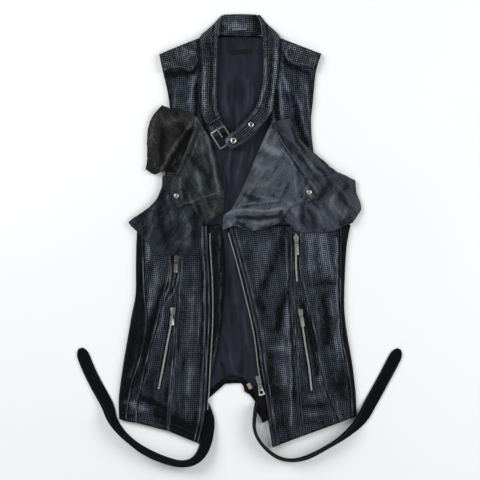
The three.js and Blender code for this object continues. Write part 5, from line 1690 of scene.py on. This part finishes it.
ROLLS_BESIDE = [
    ("pocket_inner", 1.7), ("pocket_inner", -2.2), ("pocket_outer", -1.7), ("side_seam", -1.8),
    ("front_edge", -4.2), ("front_edge", -11.5),
]
front_nodes = {hand: [node for node in FRONTS if node.endswith(hand)] for hand, _ in HANDS}
for hand, turn in HANDS:
    lines = [beside(SEAMS[hand, seam], shift * turn) for seam, shift in ROLLS_BESIDE]
    turned_edges(f"seam_edge_{hand}", lines, front_nodes[hand], 0.95)
turned_edges("lapel_edge_left", [
    squares([(274, 129), (288, 151), (303, 171), (316, 189)]),
    squares([(236, 206.5), (250, 203.5), (270, 201.5), (286, 199)]),
], ["lapel_left"], 0.9)
turned_edges("lapel_edge_right", [
    squares([(197, 123), (190, 143), (181, 163), (173, 182)]),
    squares([(179, 208), (188, 204), (198, 199), (208, 196), (219, 193)]),
], ["lapel_right"], 0.8)

# %% The hem band of the back
HEM_ARCH = [
    (203, 401), (210, 393), (217, 387), (223, 382), (229, 380), (238, 379.5), (243, 381), (246.5, 386),
    (249.5, 391), (254, 395.5), (258, 400),
]
lining_tree = surface(["back_lining"])
spots = [(x, y, dropped(lining_tree, x, y)) for x, y in smooth_line(squares(HEM_ARCH))]
spots = np.array([spot for spot in spots if spot[2] is not None])
ribbon(
    "hem_band_back_leather", spots, 5.2, 0.04, 0.3, plain_leather,
    crown=0.15)
print("hem band of the back:", len(spots), "points")

# %% [markdown]
# ## Sewing
# The seams of the fronts are sewn twice, one row on each side of the welt. The hem has two rows, and the
# armholes, shoulder flaps, collar and lapels are topstitched near their edges, some with a greyer thread.
# The straps are sewn along both long edges. A ray from above can't find the places for their stitches,
# because a strap stands on its edge in places, so the four corners of each section of its solid give them.

# %% Sewing the fronts
ROWS_BESIDE = [
    ("pocket_inner", 3.9), ("pocket_inner", -3.9), ("pocket_outer", -3.9), ("pocket_outer", 3.9),
    ("side_seam", -3.6), ("front_edge", -2.6), ("front_edge", -10.6),
]
for hand, turn in HANDS:
    lines = [beside(SEAMS[hand, seam], shift * turn) for seam, shift in ROWS_BESIDE]
    hem = smooth_line(drawn_line(LOWER[hand][-1]))
    lines += [beside(hem, 6.0 * turn), beside(hem, 16.0 * turn)]
    sew(f"stitches_front_{hand}", lines, front_nodes[hand])

# %% Sewing armholes, shoulder flaps and collar
def evenly(rows, count):
    """Rows of numbers resampled to a count, evenly by their order."""
    share, old = np.linspace(0, 1, count), np.linspace(0, 1, len(rows))
    return np.stack([np.interp(share, old, column) for column in np.asarray(rows).T], axis=1)


ARMHOLES = {
    "right": [(-158, 370), (-150, 332), (-143, 304), (-137.5, 270), (-135.5, 244)],
    "left": [(167, 371.5), (156.5, 337), (152.5, 302), (149.5, 268), (146, 238), (148, 204)],
}
TABS = {
    "right": [(-154, 340), (-149, 336), (-132, 343), (-112, 343), (-94, 336), (-84, 350)],
    "left": [(86, 386), (98, 360), (113, 351), (136, 348), (151, 343), (160, 360)],
}
COLLAR_ROWS = (0.09, 0.66, 0.79, 0.93)  # how far across the band each row lies
for hand, turn in HANDS:
    armhole = beside(smooth_line(drawn_line(ARMHOLES[hand])), 12 * turn)
    sew(f"stitches_armhole_{hand}", [armhole], [f"front_upper_{hand}"])
    tab = smooth_line(drawn_line(TABS[hand]))
    sew(f"stitches_shoulder_{hand}", [beside(tab, 1.5)], [f"shoulder_flap_{hand}"], grey_thread)
    outer, inner = (evenly(smooth_line(line), 70) for line in collar_edges[hand])
    rows = [outer * (1 - s) + inner * s for s in COLLAR_ROWS]
    sew(f"stitches_collar_{hand}", rows, [f"collar_band_{hand}"], grey_thread)

# %% Sewing lapels and facings
sew("stitches_lapel_left", [
    squares([(240, 204), (262, 203.5), (290, 201)]),
    squares([(238, 208), (262, 208), (291, 205.5)]),
    squares([(273, 125), (285, 145), (301, 167), (316, 188)]),
    squares([(271.5, 127), (283, 146), (299, 168), (312, 187)]),
], ["lapel_left"], grey_thread)
sew("stitches_lapel_right", [
    squares([(172, 180), (178, 194), (190, 193), (206, 200)]),
    squares([(174, 184), (186, 166), (197, 140)]),
    squares([(210, 206), (198, 198), (188, 190)]),
], ["lapel_right"])

# %% Sewing the straps
STRAPS = {
    "right": [
        (-79, -301), (-77, -314), (-72, -328), (-65, -345), (-59.5, -362), (-60, -384), (-64, -407),
        (-73, -429), (-89, -444.5), (-112, -449.5), (-139, -444), (-168, -433), (-195, -418.5), (-214, -404),
        (-233.5, -386), (-252, -360), (-259.5, -337), (-272, -314), (-288, -285), (-303, -253), (-311, -232),
    ],
    "left": [
        (37, -327.9), (34.2, -345), (32.6, -362), (32.2, -376), (38, -396), (54.5, -418), (80, -437),
        (110, -442.5), (142, -435), (176, -417), (204, -400), (233, -376), (251, -355), (263, -333),
        (281, -301), (302, -262), (317, -233),
    ],
}
ROW_BESIDE = 9.6
ROUND_END = 0.995  # how far along the strap its rounded end starts
for hand, spots in STRAPS.items():
    corners = np.unique(np.round(points_of(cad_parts[f"waist_strap_{hand}"]), 6), axis=0)
    _, _, share = nearest_on(corners[:, :2], smooth_line(drawn_line(spots)))
    order = np.argsort(share, kind="stable")
    corners = corners[order][share[order] < ROUND_END]
    sections = corners[: len(corners) // 4 * 4].reshape(-1, 4, 3)
    middles = sections.mean(axis=1)
    sides = []
    for section, middle in zip(sections, middles):
        side = np.linalg.svd(section - middle)[2][0]
        if sides and side @ sides[-1] < 0:
            side = -side
        sides.append(side)
    middle = smooth_line(middles, 3.6 * MM)
    places = []
    for spot, ahead, side in zip(middle, np.gradient(middle, axis=0), evenly(sides, len(middle))):
        ahead, side = unit(ahead), unit(side)
        out = unit(np.cross(ahead, side))
        out = out if out[2] > 0 else -out
        for shift in (-ROW_BESIDE, ROW_BESIDE):
            place = spot + side * shift * MM + out * 1.05 * MM
            if place[2] > 0.8 * MM:
                places.append((place, ahead, np.cross(out, ahead), out))
    piece = repeated(f"stitches_strap_{hand}", STITCH_SHAPE, places)
    smoothed(piece, 80)
    declared(piece, [], dark_thread)
    print("strap sections", hand, len(sections), "stitches", len(places))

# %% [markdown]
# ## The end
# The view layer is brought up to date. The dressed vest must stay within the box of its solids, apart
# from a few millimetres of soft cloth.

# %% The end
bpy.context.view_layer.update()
